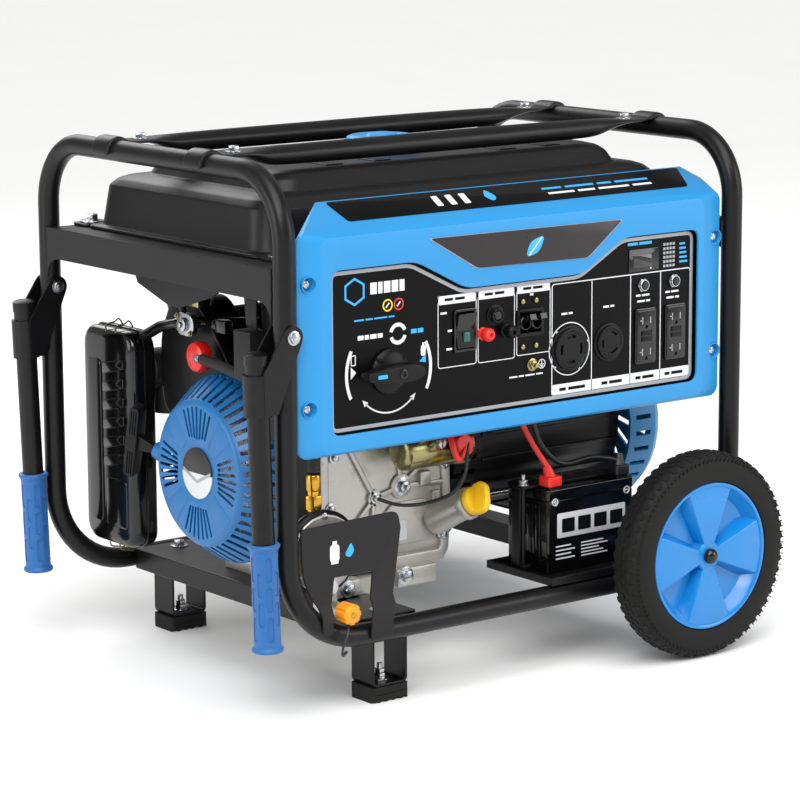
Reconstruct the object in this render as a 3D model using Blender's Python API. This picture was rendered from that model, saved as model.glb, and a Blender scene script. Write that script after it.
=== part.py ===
"""Portable open-frame generator with an engine, an alternator, a control panel and a wheel kit.

Lengths in this file are millimetres, turned to metres when a mesh is made. Modelling starts
from the working origin, where the centre lines of the left post and the front rail would
cross: X runs along the machine, Y from front to rear, Z up. BASE moves that origin, so that
the finished object stands on z = 0, centred on the vertical axis.
"""
import math

import bmesh
import bpy
from mathutils import Vector

MM = 0.001
GAP = 0.3                 # clearance between pieces that touch

# Frame of bent steel tube
TUBE_R = 12.7
LENGTH = 669.1            # between the left and right posts
WIDTH = 482.4             # between the front and rear posts
TOP_Z = 527.6             # centre line of the hoops' top
UPPER_BEND = 75.0
LOWER_BEND = 100.0
GROUND_Z = -90.5
SEAM_X = 335.0            # where the two hoops meet in each bottom rail
TUBE_SIDES = 12

# Top bars, whose flattened ends hook over the hoops
BAR_Y = {"front": 151.0, "rear": 341.0}
BAR_Z = 530.5
BAR_FLAT_Z = 536.0
BAR_FLAT_WIDTH = 38.0
BAR_FLAT_THICK = 4.0
HOOK_R = 15.4

# Sheet-steel cross members, as x ranges, and the rails that carry the tank
SHEET = 3.0
MEMBER_LEFT = (105.0, 190.0)
MEMBER_RIGHT = (548.0, 586.0)
TANK_RAIL_Z = (388.0, 425.0)
TANK_RAIL_OFFSET = 8.0

# Feet
FOOT_X = (130.0, 180.0)
FOOT_DEPTH = 41.0
FOOT_INSET = 16.0
STRAP_BOTTOM = -69.0

# Wheels
WHEEL_X = 567.0
WHEEL_R = 126.0
WHEEL_SIDES = 36
WHEEL_Z = GROUND_Z + WHEEL_R * math.cos(math.pi / WHEEL_SIDES)
WHEEL_OUTER = 81.0        # from the frame's centre line to the tyre's outer wall
WHEEL_WIDTH = 46.0
RIM_R = 89.5
AXLE_R = 8.0

# Folding handles
PIVOT_Z = 352.0
HANDLE_TOP = Vector((-38.7, 0.0, 338.0))
HANDLE_BOTTOM = Vector((-27.6, 0.0, 2.0))
GRIP_LENGTH = 123.0
GRIP_R = 15.5
EAR_R = 13.0
EAR_Y = 13.3
PIVOT_R = 5.0

# Fuel tank
TANK_FLANGE_Z = TANK_RAIL_Z[1] + GAP
TANK_TOP = 513.0
CAP_CENTRE = (325.0, 247.0)
CAP_R = 46.0

# Control panel
BEZEL_FRONT = -6.0
BEZEL_BACK = 4.0
BEZEL_WALL = 3.0
FACE_Y = 2.0
FACE_THICK = 3.0
BOX_Z = (218.0, 418.0)
BOX_DEPTH = 100.0
SELECTOR = (144.5, 297.0)
ROCKER = (253.0, 332.0)
ROCKER_SIZE = (26.0, 42.0)
DC_BREAKER = (298.5, 344.5)
MAIN_BREAKER = (350.0, 331.0)
RESETS = {"left": (525.7, 357.5), "right": (575.5, 358.0)}
TWIST_OUTLETS = {"large": (411.5, 293.0, 25.0), "small": (472.5, 294.5, 20.0)}
DUPLEX_OUTLETS = {"left": (530.0, 296.0), "right": (578.0, 296.5)}
DUPLEX_SIZE = (33.0, 67.0)
DUPLEX_RISE = 19.0

# Engine and alternator
CRANK_Y = 212.0
CRANK_Z = 161.0
RECOIL_FACE = 26.0
BLOWER_X = (78.0, 122.0)
CASE_X = (125.0, 325.0)
HEAD_LEAN = math.radians(35.0)
HOUSING_X = (330.0, 598.0)
HOUSING_R = 92.0
ROTOR_R = 68.0
COVER_END = 654.0
COVER_R = 112.0
SHAFT_R = 16.0
ROPE_R = 2.0
PULL = Vector((-0.4, 0.87, 0.29)).normalized()
STARTER_GRIP = Vector((32.0, 352.0, 177.5))
STROKE = 80.0
DIPSTICK = Vector((318.0, 62.0, 114.0))
NECK = Vector((0.25, -0.85, 0.46)).normalized()

# Battery
BATTERY_LO = (405.0, 32.0, 16.3)
BATTERY_HI = (541.0, 106.0, 118.0)
TRAY_X = (378.0, 547.5)

# Gas inlet
PLATE_Y = -6.0
INLET = (73.0, 32.0)
REGULATOR = (64.0, 96.0)

# The working origin, seen from the point on the floor below the object's centre
MIN_X = -53.6
MAX_X = 692.5
BASE = Vector((-(MIN_X + MAX_X) / 2, -WIDTH / 2, -GROUND_Z))


# ---------------------------------------------------------------- tools

def clear_scene():
    for old in list(bpy.data.objects):
        bpy.data.objects.remove(old, do_unlink=True)


def material(name, colour, roughness, metallic=0.0):
    """A Principled material; colour is linear red, green and blue."""
    made = bpy.data.materials.get(name)
    if made:
        return made
    made = bpy.data.materials.new(name)
    made.use_nodes = True
    shader = made.node_tree.nodes["Principled BSDF"]
    shader.inputs["Base Color"].default_value = (*colour, 1.0)
    shader.inputs["Roughness"].default_value = roughness
    shader.inputs["Metallic"].default_value = metallic
    return made


def black_steel():
    return material("black_powder_coated_steel", (0.011, 0.011, 0.012), 0.42)


def blue_plastic():
    return material("blue_moulded_plastic", (0.02, 0.28, 0.78), 0.38)


def black_plastic():
    return material("black_moulded_plastic", (0.012, 0.012, 0.013), 0.35)


def black_rubber():
    return material("black_rubber", (0.018, 0.017, 0.016), 0.8)


def bright_steel():
    return material("zinc_plated_steel", (0.55, 0.55, 0.57), 0.3, 1.0)


def cast_aluminium():
    return material("cast_aluminium", (0.38, 0.37, 0.35), 0.5, 1.0)


def red_plastic():
    return material("red_plastic", (0.75, 0.03, 0.02), 0.45)


def yellow_plastic():
    return material("yellow_plastic", (0.85, 0.52, 0.01), 0.4)


def orange_plastic():
    return material("orange_plastic", (0.85, 0.28, 0.01), 0.4)


def place(name, body, finish, pivot=(0.0, 0.0, 0.0), smooth=True):
    """Make the named object from a bmesh in millimetres, with its origin at pivot."""
    bmesh.ops.remove_doubles(body, verts=body.verts, dist=0.001)
    bmesh.ops.recalc_face_normals(body, faces=body.faces)
    pivot = Vector(pivot)
    bmesh.ops.translate(body, verts=body.verts, vec=-pivot)
    bmesh.ops.scale(body, verts=body.verts, vec=(MM, MM, MM))
    mesh = bpy.data.meshes.new(name)
    body.to_mesh(mesh)
    body.free()
    made = bpy.data.objects.new(name, mesh)
    made.location = (pivot + BASE) * MM
    bpy.context.scene.collection.objects.link(made)
    mesh.materials.append(finish)
    if smooth:
        mesh.shade_smooth()
        mesh.set_sharp_from_angle(angle=math.radians(35.0))
    return made


def combine(first, second, operation):
    """Join, cut or intersect two closed bmeshes, and give back the first one changed."""
    holders = []
    for body in (first, second):
        bmesh.ops.recalc_face_normals(body, faces=body.faces)
        mesh = bpy.data.meshes.new("operand")
        body.to_mesh(mesh)
        body.free()
        holder = bpy.data.objects.new("operand", mesh)
        bpy.context.scene.collection.objects.link(holder)
        holders.append(holder)
    changed, tool = holders
    step = changed.modifiers.new("step", "BOOLEAN")
    step.operation = operation
    step.solver = "EXACT"
    step.object = tool
    view = bpy.context.evaluated_depsgraph_get()
    result = bmesh.new()
    result.from_mesh(changed.evaluated_get(view).to_mesh())
    for holder in holders:
        mesh = holder.data
        bpy.data.objects.remove(holder, do_unlink=True)
        bpy.data.meshes.remove(mesh)
    return result


def union(*bodies):
    joined = bodies[0]
    for body in bodies[1:]:
        joined = combine(joined, body, "UNION")
    return joined


def cut(body, *tools):
    for tool in tools:
        body = combine(body, tool, "DIFFERENCE")
    return body


def box(low, high):
    body = bmesh.new()
    bmesh.ops.create_cube(body, size=1.0)
    low, high = Vector(low), Vector(high)
    bmesh.ops.scale(body, verts=body.verts, vec=high - low)
    bmesh.ops.translate(body, verts=body.verts, vec=(low + high) / 2)
    return body


def loft(rings, closed=False):
    """Skin a row of rings that have the same number of points."""
    body = bmesh.new()
    rows = [[body.verts.new(point) for point in ring] for ring in rings]
    count = len(rows[0])
    pairs = list(zip(rows, rows[1:]))
    if closed:
        pairs.append((rows[-1], rows[0]))
    for lower, upper in pairs:
        for i in range(count):
            j = (i + 1) % count
            body.faces.new((lower[i], lower[j], upper[j], upper[i]))
    if not closed:
        body.faces.new(rows[0])
        body.faces.new(rows[-1])
    bmesh.ops.recalc_face_normals(body, faces=body.faces)
    return body


def prism(outline, axis, low, high):
    """Extrude a plane outline along an axis: X takes (y, z), Y takes (x, z), Z takes (x, y)."""
    def at(point, along):
        a, b = point
        return {"X": (along, a, b), "Y": (a, along, b), "Z": (a, b, along)}[axis]
    return loft([[at(p, low) for p in outline], [at(p, high) for p in outline]])


def arc(centre, radius, start, end, steps):
    """Points on an arc, with angles in degrees."""
    angles = [math.radians(start + (end - start) * i / steps) for i in range(steps + 1)]
    return [(centre[0] + radius * math.cos(a), centre[1] + radius * math.sin(a)) for a in angles]


def rounded_rectangle(low, high, radius, steps=3):
    (x0, y0), (x1, y1) = low, high
    r = radius
    return (arc((x1 - r, y0 + r), r, -90, 0, steps) + arc((x1 - r, y1 - r), r, 0, 90, steps)
            + arc((x0 + r, y1 - r), r, 90, 180, steps) + arc((x0 + r, y0 + r), r, 180, 270, steps))


def softened(outline, reach, steps):
    """The outline with each corner replaced by a short curve that starts and ends a reach away."""
    points = []
    for i, corner in enumerate(outline):
        corner = Vector(corner)
        before, after = Vector(outline[i - 1]), Vector(outline[(i + 1) % len(outline)])
        enter = corner + (before - corner).normalized() * reach
        leave = corner + (after - corner).normalized() * reach
        for k in range(steps + 1):
            t = k / steps
            points.append(tuple((1 - t) ** 2 * enter + 2 * t * (1 - t) * corner + t * t * leave))
    return points


def across(direction):
    """Two unit vectors that stand across a direction."""
    direction = Vector(direction).normalized()
    helper = Vector((0, 0, 1)) if abs(direction.z) < 0.9 else Vector((0, 1, 0))
    side = helper.cross(direction).normalized()
    return side, direction.cross(side)


def circle(centre, direction, radius, sides):
    side, up = across(direction)
    centre = Vector(centre)
    turns = [2 * math.pi * (i + 0.5) / sides for i in range(sides)]
    return [centre + radius * (side * math.cos(t) + up * math.sin(t)) for t in turns]


def rod(start, end, radius, sides=16):
    start, end = Vector(start), Vector(end)
    direction = end - start
    return loft([circle(start, direction, radius, sides), circle(end, direction, radius, sides)])


def turned(profile, start, direction, sides=24, ring=False):
    """Turn a row of (distance, radius) about an axis; ring=True closes the row on itself."""
    start, direction = Vector(start), Vector(direction).normalized()
    rings = [circle(start + direction * d, direction, r, sides) for d, r in profile]
    return loft(rings, closed=ring)


def filleted(corners, radii, steps=6):
    """A centre line through corners, with an arc of the given radius at each inner corner."""
    corners = [Vector(c) for c in corners]
    path = [corners[0]]
    for before, corner, after, radius in zip(corners, corners[1:], corners[2:], radii):
        enter = (corner - before).normalized()
        leave = (after - corner).normalized()
        turn = enter.angle(leave)
        reach = radius * math.tan(turn / 2)
        middle = corner - enter * reach + (leave - enter * enter.dot(leave)).normalized() * radius
        spoke = corner - enter * reach - middle
        for i in range(steps + 1):
            swing = turn * i / steps
            path.append(middle + spoke * math.cos(swing) + enter * radius * math.sin(swing))
    path.append(corners[-1])
    return path


def sweep(path, radius, sides):
    """A round bar along a path, its section carried round the bends without twisting."""
    path = [Vector(p) for p in path]
    tangents = []
    for i, point in enumerate(path):
        before = path[max(i - 1, 0)]
        after = path[min(i + 1, len(path) - 1)]
        tangents.append((after - before).normalized())
    side = across(tangents[0])[0]
    rings = []
    for i, (point, tangent) in enumerate(zip(path, tangents)):
        side = (side - tangent * side.dot(tangent)).normalized()
        up = tangent.cross(side)
        turns = [2 * math.pi * (k + 0.5) / sides for k in range(sides)]
        rings.append([point + radius * (side * math.cos(t) + up * math.sin(t)) for t in turns])
    return loft(rings)


def smooth_curve(points, steps):
    """Points read from a Catmull-Rom curve through hand-placed points."""
    points = [Vector(p) for p in points]
    ends = [2 * points[0] - points[1]] + points + [2 * points[-1] - points[-2]]
    path = []
    for i in range(1, len(ends) - 2):
        a, b, c, d = ends[i - 1:i + 3]
        for k in range(steps):
            t = k / steps
            path.append(0.5 * (2 * b + (c - a) * t + (2 * a - 5 * b + 4 * c - d) * t * t
                               + (3 * b - a - 3 * c + d) * t ** 3))
    path.append(points[-1])
    return path


# ---------------------------------------------------------------- frame

def hoop(side):
    """One bent tube: half of a bottom rail, a post, the top, a post and the other half rail."""
    post = 0.0 if side == "left" else LENGTH
    seam = SEAM_X - GAP / 2 if side == "left" else SEAM_X + GAP / 2
    corners = [(seam, 0, 0), (post, 0, 0), (post, 0, TOP_Z),
               (post, WIDTH, TOP_Z), (post, WIDTH, 0), (seam, WIDTH, 0)]
    radii = [LOWER_BEND, UPPER_BEND, UPPER_BEND, LOWER_BEND]
    body = sweep(filleted(corners, radii), TUBE_R, TUBE_SIDES)
    if side == "left":
        for y in (0.0, WIDTH):
            reach = TUBE_R + 2
            hole = rod((0, y - reach, PIVOT_Z), (0, y + reach, PIVOT_Z), PIVOT_R + GAP, 12)
            body = cut(body, hole)
    place("frame_hoop_" + side, body, black_steel())


def bar_section(centre, lean, width, thick, sharpness):
    """A section across a top bar: a circle at sharpness 1, a flat strip towards 0.4."""
    normal = Vector((-math.sin(lean), 0, math.cos(lean)))
    ring = []
    for i in range(TUBE_SIDES):
        turn = 2 * math.pi * (i + 0.5) / TUBE_SIDES
        c, s = math.cos(turn), math.sin(turn)
        flat = width / 2 * math.copysign(abs(c) ** sharpness, c)
        high = thick / 2 * math.copysign(abs(s) ** sharpness, s)
        ring.append(Vector(centre) + Vector((0, flat, 0)) + normal * high)
    return ring


def top_bar(which):
    y = BAR_Y[which]
    half = []
    for degrees in range(200, 30, -20):
        a = math.radians(degrees)
        spot = (HOOK_R * math.cos(a), y, TOP_Z + HOOK_R * math.sin(a))
        half.append((spot, a - math.pi / 2, BAR_FLAT_WIDTH, BAR_FLAT_THICK, 0.45))
    half.append(((20.0, y, BAR_FLAT_Z), 0.0, BAR_FLAT_WIDTH, BAR_FLAT_THICK, 0.45))
    half.append(((50.0, y, BAR_FLAT_Z), 0.0, BAR_FLAT_WIDTH, BAR_FLAT_THICK + 0.5, 0.5))
    half.append(((66.0, y, BAR_FLAT_Z - 2), -0.06, 34.0, 13.0, 0.8))
    half.append(((84.0, y, BAR_Z), -0.05, 28.0, 21.0, 0.95))
    half.append(((104.0, y, BAR_Z - 1), 0.0, 2 * TUBE_R, 2 * TUBE_R, 1.0))
    half.append(((220.0, y, BAR_Z), 0.0, 2 * TUBE_R, 2 * TUBE_R, 1.0))
    rings = [bar_section(*row) for row in half]
    for row in reversed(half):
        spot, lean, width, thick, sharpness = row
        rings.append(bar_section((LENGTH - spot[0], y, spot[2]), -lean, width, thick, sharpness))
    place("top_bar_" + which, loft(rings), black_steel())


def tank_rail(side):
    """A deep strip with flared lower corners, and a ledge on top that carries the tank."""
    out = -1 if side == "left" else 1
    post = 0.0 if side == "left" else LENGTH
    low, high = TANK_RAIL_Z
    near, far = 10.4, WIDTH - 10.4
    flare = 24.0
    outline = ([(near, high), (near, low - flare)] + arc((near + flare, low - flare), flare, 180, 90, 4)
               + arc((far - flare, low - flare), flare, 90, 0, 4) + [(far, high)])
    inner = post + out * TANK_RAIL_OFFSET
    outer = inner + out * SHEET
    strip = prism(outline, "X", min(inner, outer), max(inner, outer))
    ledge_end = post - out * 36.0
    ledge = box((min(outer, ledge_end), 16.0, high - SHEET), (max(outer, ledge_end), WIDTH - 16.0, high))
    place("tank_rail_" + side, union(strip, ledge), black_steel(), smooth=False)


def channel(x_range):
    """A cross member pressed from sheet, open below, between the two bottom rails."""
    x0, x1 = x_range
    top, bottom = TUBE_R, -TUBE_R
    outline = [(x0, bottom), (x0 + SHEET, bottom), (x0 + SHEET, top - SHEET),
               (x1 - SHEET, top - SHEET), (x1 - SHEET, bottom), (x1, bottom), (x1, top), (x0, top)]
    near = TUBE_R + GAP
    return prism(outline, "Y", near, WIDTH - near)


def cross_members():
    place("cross_member_left", channel(MEMBER_LEFT), black_steel(), smooth=False)
    body = channel(MEMBER_RIGHT)
    for y in (TUBE_R + 4, WIDTH - TUBE_R - 4 - SHEET):
        x0, x1 = MEMBER_RIGHT
        ear = prism([(x0, 0), (x1, 0)] + arc((WHEEL_X, WHEEL_Z), 19.0, 0, 180, 8), "Y", y, y + SHEET)
        body = union(body, ear)
    for y in (TUBE_R + 4, WIDTH - TUBE_R - 4 - SHEET):
        hole = rod((WHEEL_X, y - 4, WHEEL_Z), (WHEEL_X, y + SHEET + 4, WHEEL_Z), AXLE_R + GAP, 16)
        body = cut(body, hole)
    place("cross_member_axle", body, black_steel(), smooth=False)


def foot(which):
    """A strap bent to a U under the left cross member, and the rubber block below it."""
    y0 = FOOT_INSET if which == "front" else WIDTH - FOOT_INSET - FOOT_DEPTH
    x0, x1 = FOOT_X
    top = TUBE_R - SHEET - GAP
    low = STRAP_BOTTOM - SHEET
    bend = 6.0
    outer = ([(x0, top), (x0, low + bend)] + arc((x0 + bend, low + bend), bend, 180, 270, 3)
             + arc((x1 - bend, low + bend), bend, 270, 360, 3) + [(x1, top)])
    inner = ([(x1 - SHEET, top)] + arc((x1 - bend, low + bend), bend - SHEET, 0, -90, 3)
             + arc((x0 + bend, low + bend), bend - SHEET, 270, 180, 3) + [(x0 + SHEET, top)])
    strap = prism(outer + inner, "Y", y0, y0 + FOOT_DEPTH)
    place("foot_bracket_" + which, strap, black_steel(), smooth=False)
    block = prism(rounded_rectangle((x0 - 1, y0 - 1), (x1 + 1, y0 + FOOT_DEPTH + 1), 4.0), "Z",
                  GROUND_Z, low - GAP)
    place("rubber_foot_" + which, block, black_rubber(), smooth=False)


# ---------------------------------------------------------------- wheels

def wheel(which):
    out = -1 if which == "front" else 1
    rail = 0.0 if which == "front" else WIDTH
    outer = rail + out * WHEEL_OUTER
    hub = (WHEEL_X, outer, WHEEL_Z)
    inward = (0, -out, 0)
    w = WHEEL_WIDTH
    tyre = [(3, RIM_R + 1), (0, RIM_R + 12), (1, WHEEL_R - 14), (6, WHEEL_R - 3), (12, WHEEL_R),
            (w - 12, WHEEL_R), (w - 6, WHEEL_R - 3), (w - 1, WHEEL_R - 14), (w, RIM_R + 12),
            (w - 3, RIM_R + 1), (w - 4, RIM_R + GAP), (4, RIM_R + GAP)]
    body = turned(tyre, hub, inward, WHEEL_SIDES, ring=True)
    place("tyre_" + which, body, black_rubber(), pivot=hub)
    bore = AXLE_R + GAP
    rim = [(3, bore), (3, 17), (10, 20), (14, 78), (4, 84), (4, RIM_R), (w - 4, RIM_R),
           (w - 4, 84), (24, 80), (24, 20), (w - 1, 17), (w - 1, bore)]
    body = turned(rim, hub, inward, WHEEL_SIDES, ring=True)
    place("wheel_rim_" + which, body, blue_plastic(), pivot=hub)


def axle():
    """A rod through both wheels, with domed caps outside and collars inside them."""
    total = WIDTH + 2 * WHEEL_OUTER
    cap = [(-5.0, 3.0), (-3.5, 6.6), (0.0, 9.0), (2.7, 9.0), (2.7, AXLE_R)]
    collar = [(WHEEL_WIDTH + 0.3, AXLE_R), (WHEEL_WIDTH + 0.3, 9.0),
              (WHEEL_WIDTH + 6.0, 9.0), (WHEEL_WIDTH + 6.0, AXLE_R)]
    half = cap + collar
    profile = half + [(total - d, r) for d, r in reversed(half)]
    body = turned(profile, (WHEEL_X, -WHEEL_OUTER, WHEEL_Z), (0, 1, 0), 16)
    place("wheel_axle", body, black_steel())


# ---------------------------------------------------------------- handles

def handle_frame(which):
    shift = Vector((0, 0.0 if which == "front" else WIDTH, 0))
    return HANDLE_TOP + shift, HANDLE_BOTTOM + shift, shift.y


def handle(which):
    """The tube that folds down beside the post, with the bracket welded round its top."""
    top, bottom, y = handle_frame(which)
    down = (bottom - top).normalized()
    cap = [(0.0, 9.0), (2.5, TUBE_R + 1.2), (14.0, TUBE_R + 1.2), (14.0, TUBE_R)]
    tube = turned(cap + [((bottom - top).length - 3.0, TUBE_R)], top, down, TUBE_SIDES)
    collar = rod(top + down * 24.0, top + down * 70.0, EAR_Y + SHEET, TUBE_SIDES)
    body = union(tube, collar)
    high = top + down * 26.0
    low = top + down * 68.0
    for side in (-1, 1):
        near, far = sorted((y + side * EAR_Y, y + side * (EAR_Y + SHEET)))
        outline = (arc((0, PIVOT_Z), EAR_R, -25, 150, 9)
                   + [(high.x - 2, high.z + 4), (low.x - 2, low.z), (low.x + 16, low.z)])
        body = union(body, prism(outline, "Y", near, far))
    reach = EAR_Y + SHEET + 2
    body = cut(body, rod((0, y - reach, PIVOT_Z), (0, y + reach, PIVOT_Z), PIVOT_R + GAP, 12))
    place("handle_" + which, body, black_steel(), pivot=(0, y, PIVOT_Z))


def grip(which):
    top, bottom, y = handle_frame(which)
    up = (top - bottom).normalized()
    bore = TUBE_R + GAP
    profile = [(0, 6.0), (0, GRIP_R + 2.5), (5, GRIP_R + 2.5), (8, GRIP_R), (GRIP_LENGTH - 8, GRIP_R),
               (GRIP_LENGTH - 5, GRIP_R + 2.5), (GRIP_LENGTH, GRIP_R + 2.5), (GRIP_LENGTH, bore),
               (3 - GAP, bore), (3 - GAP, 6.0)]
    body = turned(profile, bottom, up, 16, ring=True)
    place("grip_" + which, body, blue_plastic(), pivot=(0, y, PIVOT_Z))


def pivot_bolt(which):
    y = 0.0 if which == "front" else WIDTH
    ear = EAR_Y + SHEET + GAP
    profile = [(-ear - 5.5, 4.0), (-ear - 4.5, 8.5), (-ear, 8.5), (-ear, PIVOT_R),
               (ear, PIVOT_R), (ear, 8.0), (ear + 6.0, 8.0)]
    place("pivot_bolt_" + which, turned(profile, (0, y, PIVOT_Z), (0, 1, 0), 12), bright_steel())


# ---------------------------------------------------------------- tank

def tank_levels(wall):
    """The tank's outline at each height, drawn in by wall for its hollow."""
    levels = [(TANK_FLANGE_Z + 5, 30, 640, 82, 430, 30), (478, 36, 636, 88, 424, 30),
              (488, 46, 626, 98, 414, 30), (491, 76, 598, 118, 396, 30),
              (505, 84, 590, 126, 388, 30), (TANK_TOP, 100, 574, 142, 372, 30)]
    flange = [(TANK_FLANGE_Z, 22, 646, 74, 438, 20), (TANK_FLANGE_Z + 4, 22, 646, 74, 438, 20)]
    rings = []
    for z, x0, x1, y0, y1, radius in (levels if wall else flange + levels):
        low, high = (x0 + wall, y0 + wall), (x1 - wall, y1 - wall)
        level = z - wall if z > 480 else z
        rings.append([(x, y, level) for x, y in rounded_rectangle(low, high, radius - wall, 4)])
    return rings


def fuel_tank():
    """A hollow stepped body, filled through its neck, on a flange that rests on the tank rails."""
    x, y = CAP_CENTRE
    neck = rod((x, y, TANK_TOP - 20), (x, y, TANK_TOP + 5), 22.0, 20)
    place("fuel_tank", cut(loft(tank_levels(0.0)), loft(tank_levels(SHEET)), neck), black_steel())


def fuel_cap():
    centre = (CAP_CENTRE[0], CAP_CENTRE[1], TANK_TOP + GAP)
    profile = [(0, CAP_R - 4), (3, CAP_R), (13, CAP_R), (17, CAP_R - 5), (20, CAP_R - 16), (21, 10)]
    place("fuel_cap", turned(profile, centre, (0, 0, 1), 28), blue_plastic(), pivot=centre)


# ---------------------------------------------------------------- control panel

def bezel_hull(inset, back):
    """The panel's outer form, or the same form drawn in by inset for its hollow."""
    i = inset
    points = [(18 + i, back, 210 + i), (651 - i, back, 210 + i), (651 - i, back, 461 - i),
              (18 + i, back, 461 - i), (18 + i, BEZEL_BACK, 210 + i), (651 - i, BEZEL_BACK, 210 + i),
              (651 - i, BEZEL_BACK, 461 - i), (18 + i, BEZEL_BACK, 461 - i),
              (87 + i, 60, 486 - i), (638 - i, 60, 486 - i), (651 - i, 36, 473 - i),
              (50 + i, BEZEL_FRONT + i, 214 + i), (619 - i, BEZEL_FRONT + i, 214 + i),
              (619 - i, BEZEL_FRONT + i, 455 - i), (50 + i, BEZEL_FRONT + i, 455 - i)]
    body = bmesh.new()
    for point in points:
        body.verts.new(point)
    bmesh.ops.convex_hull(body, input=body.verts)
    return body


def window_outline(margin):
    """The opening round the controls, whose top dips in the middle."""
    m = margin
    corners = [(60 - m, 233 - m), (609 + m, 233 - m), (609 + m, 418 + m), (490 - m, 418 + m),
               (425, 381 + m), (251, 381 + m), (178 + m, 418 + m), (60 - m, 418 + m)]
    return softened(corners, 13.0 + m, 4)


def panel_bezel():
    """The front frame of the panel with its sloping top, cut clear of the tank rails."""
    rim = 6.0
    rails = box((0, rim, 0), (LENGTH, TANK_TOP, TANK_RAIL_Z[1] + 5))
    shell = cut(bezel_hull(0.0, rim), bezel_hull(BEZEL_WALL, 62.0),
                prism(window_outline(0.0), "Y", -30.0, 0.0), rails)
    place("panel_bezel", shell, blue_plastic(), smooth=False)


def panel_face():
    body = prism(window_outline(4.0), "Y", FACE_Y, FACE_Y + FACE_THICK)
    for centre, radius in ((SELECTOR, 9.0), (DC_BREAKER, 6.0), (RESETS["left"], 6.0), (RESETS["right"], 6.0)):
        x, z = centre
        body = cut(body, rod((x, -2, z), (x, 9, z), radius, 16))
    for centre, size in ((ROCKER, ROCKER_SIZE), (MAIN_BREAKER, (30.0, 26.0))):
        (x, z), (w, h) = centre, size
        body = cut(body, box((x - w / 2 - 1, -2, z - h / 2 - 1), (x + w / 2 + 1, 9, z + h / 2 + 1)))
    place("panel_face", body, black_plastic(), smooth=False)


def control_box():
    """The housing behind the panel, open towards the panel."""
    z0, z1 = BOX_Z
    outer = box((40, 8, z0), (630, BOX_DEPTH, z1))
    inner = box((43, 0, z0 + SHEET), (627, BOX_DEPTH - SHEET, z1 - SHEET))
    place("control_box", cut(outer, inner), black_plastic(), smooth=False)


def selector_knob():
    """A round boss with a long bar that points at the chosen fuel, on a spindle."""
    x, z = SELECTOR
    boss = turned([(0, 26), (-6, 26), (-9, 22)], (x, FACE_Y - GAP, z), (0, 1, 0), 24)
    bar = prism([(x - 48, z - 6), (x - 20, z - 10), (x + 22, z - 10)] + arc((x + 22, z), 10, -90, 90, 6)
                + [(x - 20, z + 10), (x - 48, z + 6)], "Y", -26.0, -6.0)
    spindle = rod((x, -4, z), (x, 14, z), 8.0, 16)
    place("selector_knob", union(boss, bar, spindle), black_plastic(), pivot=(x, FACE_Y, z))


def engine_switch():
    """A rocker that swings about its middle, in its opening."""
    x, z = ROCKER
    w, h = ROCKER_SIZE
    outline = [(-6.0, z + h / 2 - 1), (-1.0, z), (-3.0, z - h / 2 + 1), (4.0, z - h / 2 + 3),
               (9.0, z), (4.0, z + h / 2 - 3)]
    body = prism(outline, "X", x - w / 2, x + w / 2)
    place("engine_switch", body, black_plastic(), pivot=(x, FACE_Y + 2, z), smooth=False)


def push_button(name, centre, finish):
    x, z = centre
    profile = [(8.0, 5.5), (-2.0, 5.5), (-6.0, 5.5), (-7.0, 4.5)]
    place(name, turned(profile, (x, FACE_Y, z), (0, 1, 0), 16), finish, pivot=(x, FACE_Y, z))


def main_breaker():
    """Two toggle levers tied together, on one rocking shaft behind the face."""
    x, z = MAIN_BREAKER
    shaft = rod((x - 13, 10, z), (x + 13, 10, z), 5.0, 12)
    body = shaft
    for side in (-8.0, 8.0):
        lever = prism([(10.0, z - 5), (10.0, z + 5), (-14.0, z + 12), (-16.0, z + 6)], "X",
                      x + side - 4.5, x + side + 4.5)
        body = union(body, lever)
    body = union(body, box((x - 8, -11, z + 4.0), (x + 8, -8, z + 8.0)))
    place("main_breaker_toggle", body, black_plastic(), pivot=(x, 10, z))


def twist_outlet(which):
    x, z, radius = TWIST_OUTLETS[which]
    profile = [(-GAP, radius + 3), (-1.5, radius + 3), (-2.5, radius), (-4.5, radius), (-5, radius - 2)]
    body = turned(profile, (x, FACE_Y, z), (0, 1, 0), 24)
    for degrees in (90, 210, 330):
        a = math.radians(degrees)
        px, pz = x + 0.6 * radius * math.cos(a), z + 0.6 * radius * math.sin(a)
        body = cut(body, box((px - 2.2, -20, pz - 2.2), (px + 2.2, 0, pz + 2.2)))
    place("twist_outlet_" + which, body, black_plastic())


def duplex_outlet(which):
    x, z = DUPLEX_OUTLETS[which]
    w, h = DUPLEX_SIZE
    body = prism(rounded_rectangle((x - w / 2, z - h / 2), (x + w / 2, z + h / 2), 4.0), "Y",
                 FACE_Y - 3.5, FACE_Y - GAP)
    for rise in (-DUPLEX_RISE, DUPLEX_RISE):
        for side in (-6.0, 6.0):
            body = cut(body, box((x + side - 1, -12, z + rise - 4), (x + side + 1, 0.3, z + rise + 4)))
    place("duplex_outlet_" + which, body, black_plastic(), smooth=False)


# ---------------------------------------------------------------- engine

def along_head(reach, aside):
    """A point in the plane across the crankshaft, measured along the leaning cylinder."""
    c, s = math.cos(HEAD_LEAN), math.sin(HEAD_LEAN)
    return (CRANK_Y + reach * c - aside * s, CRANK_Z + reach * s + aside * c)


def crank_bore(low, high, radius, sides=20):
    return rod((low, CRANK_Y, CRANK_Z), (high, CRANK_Y, CRANK_Z), radius, sides)


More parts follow.
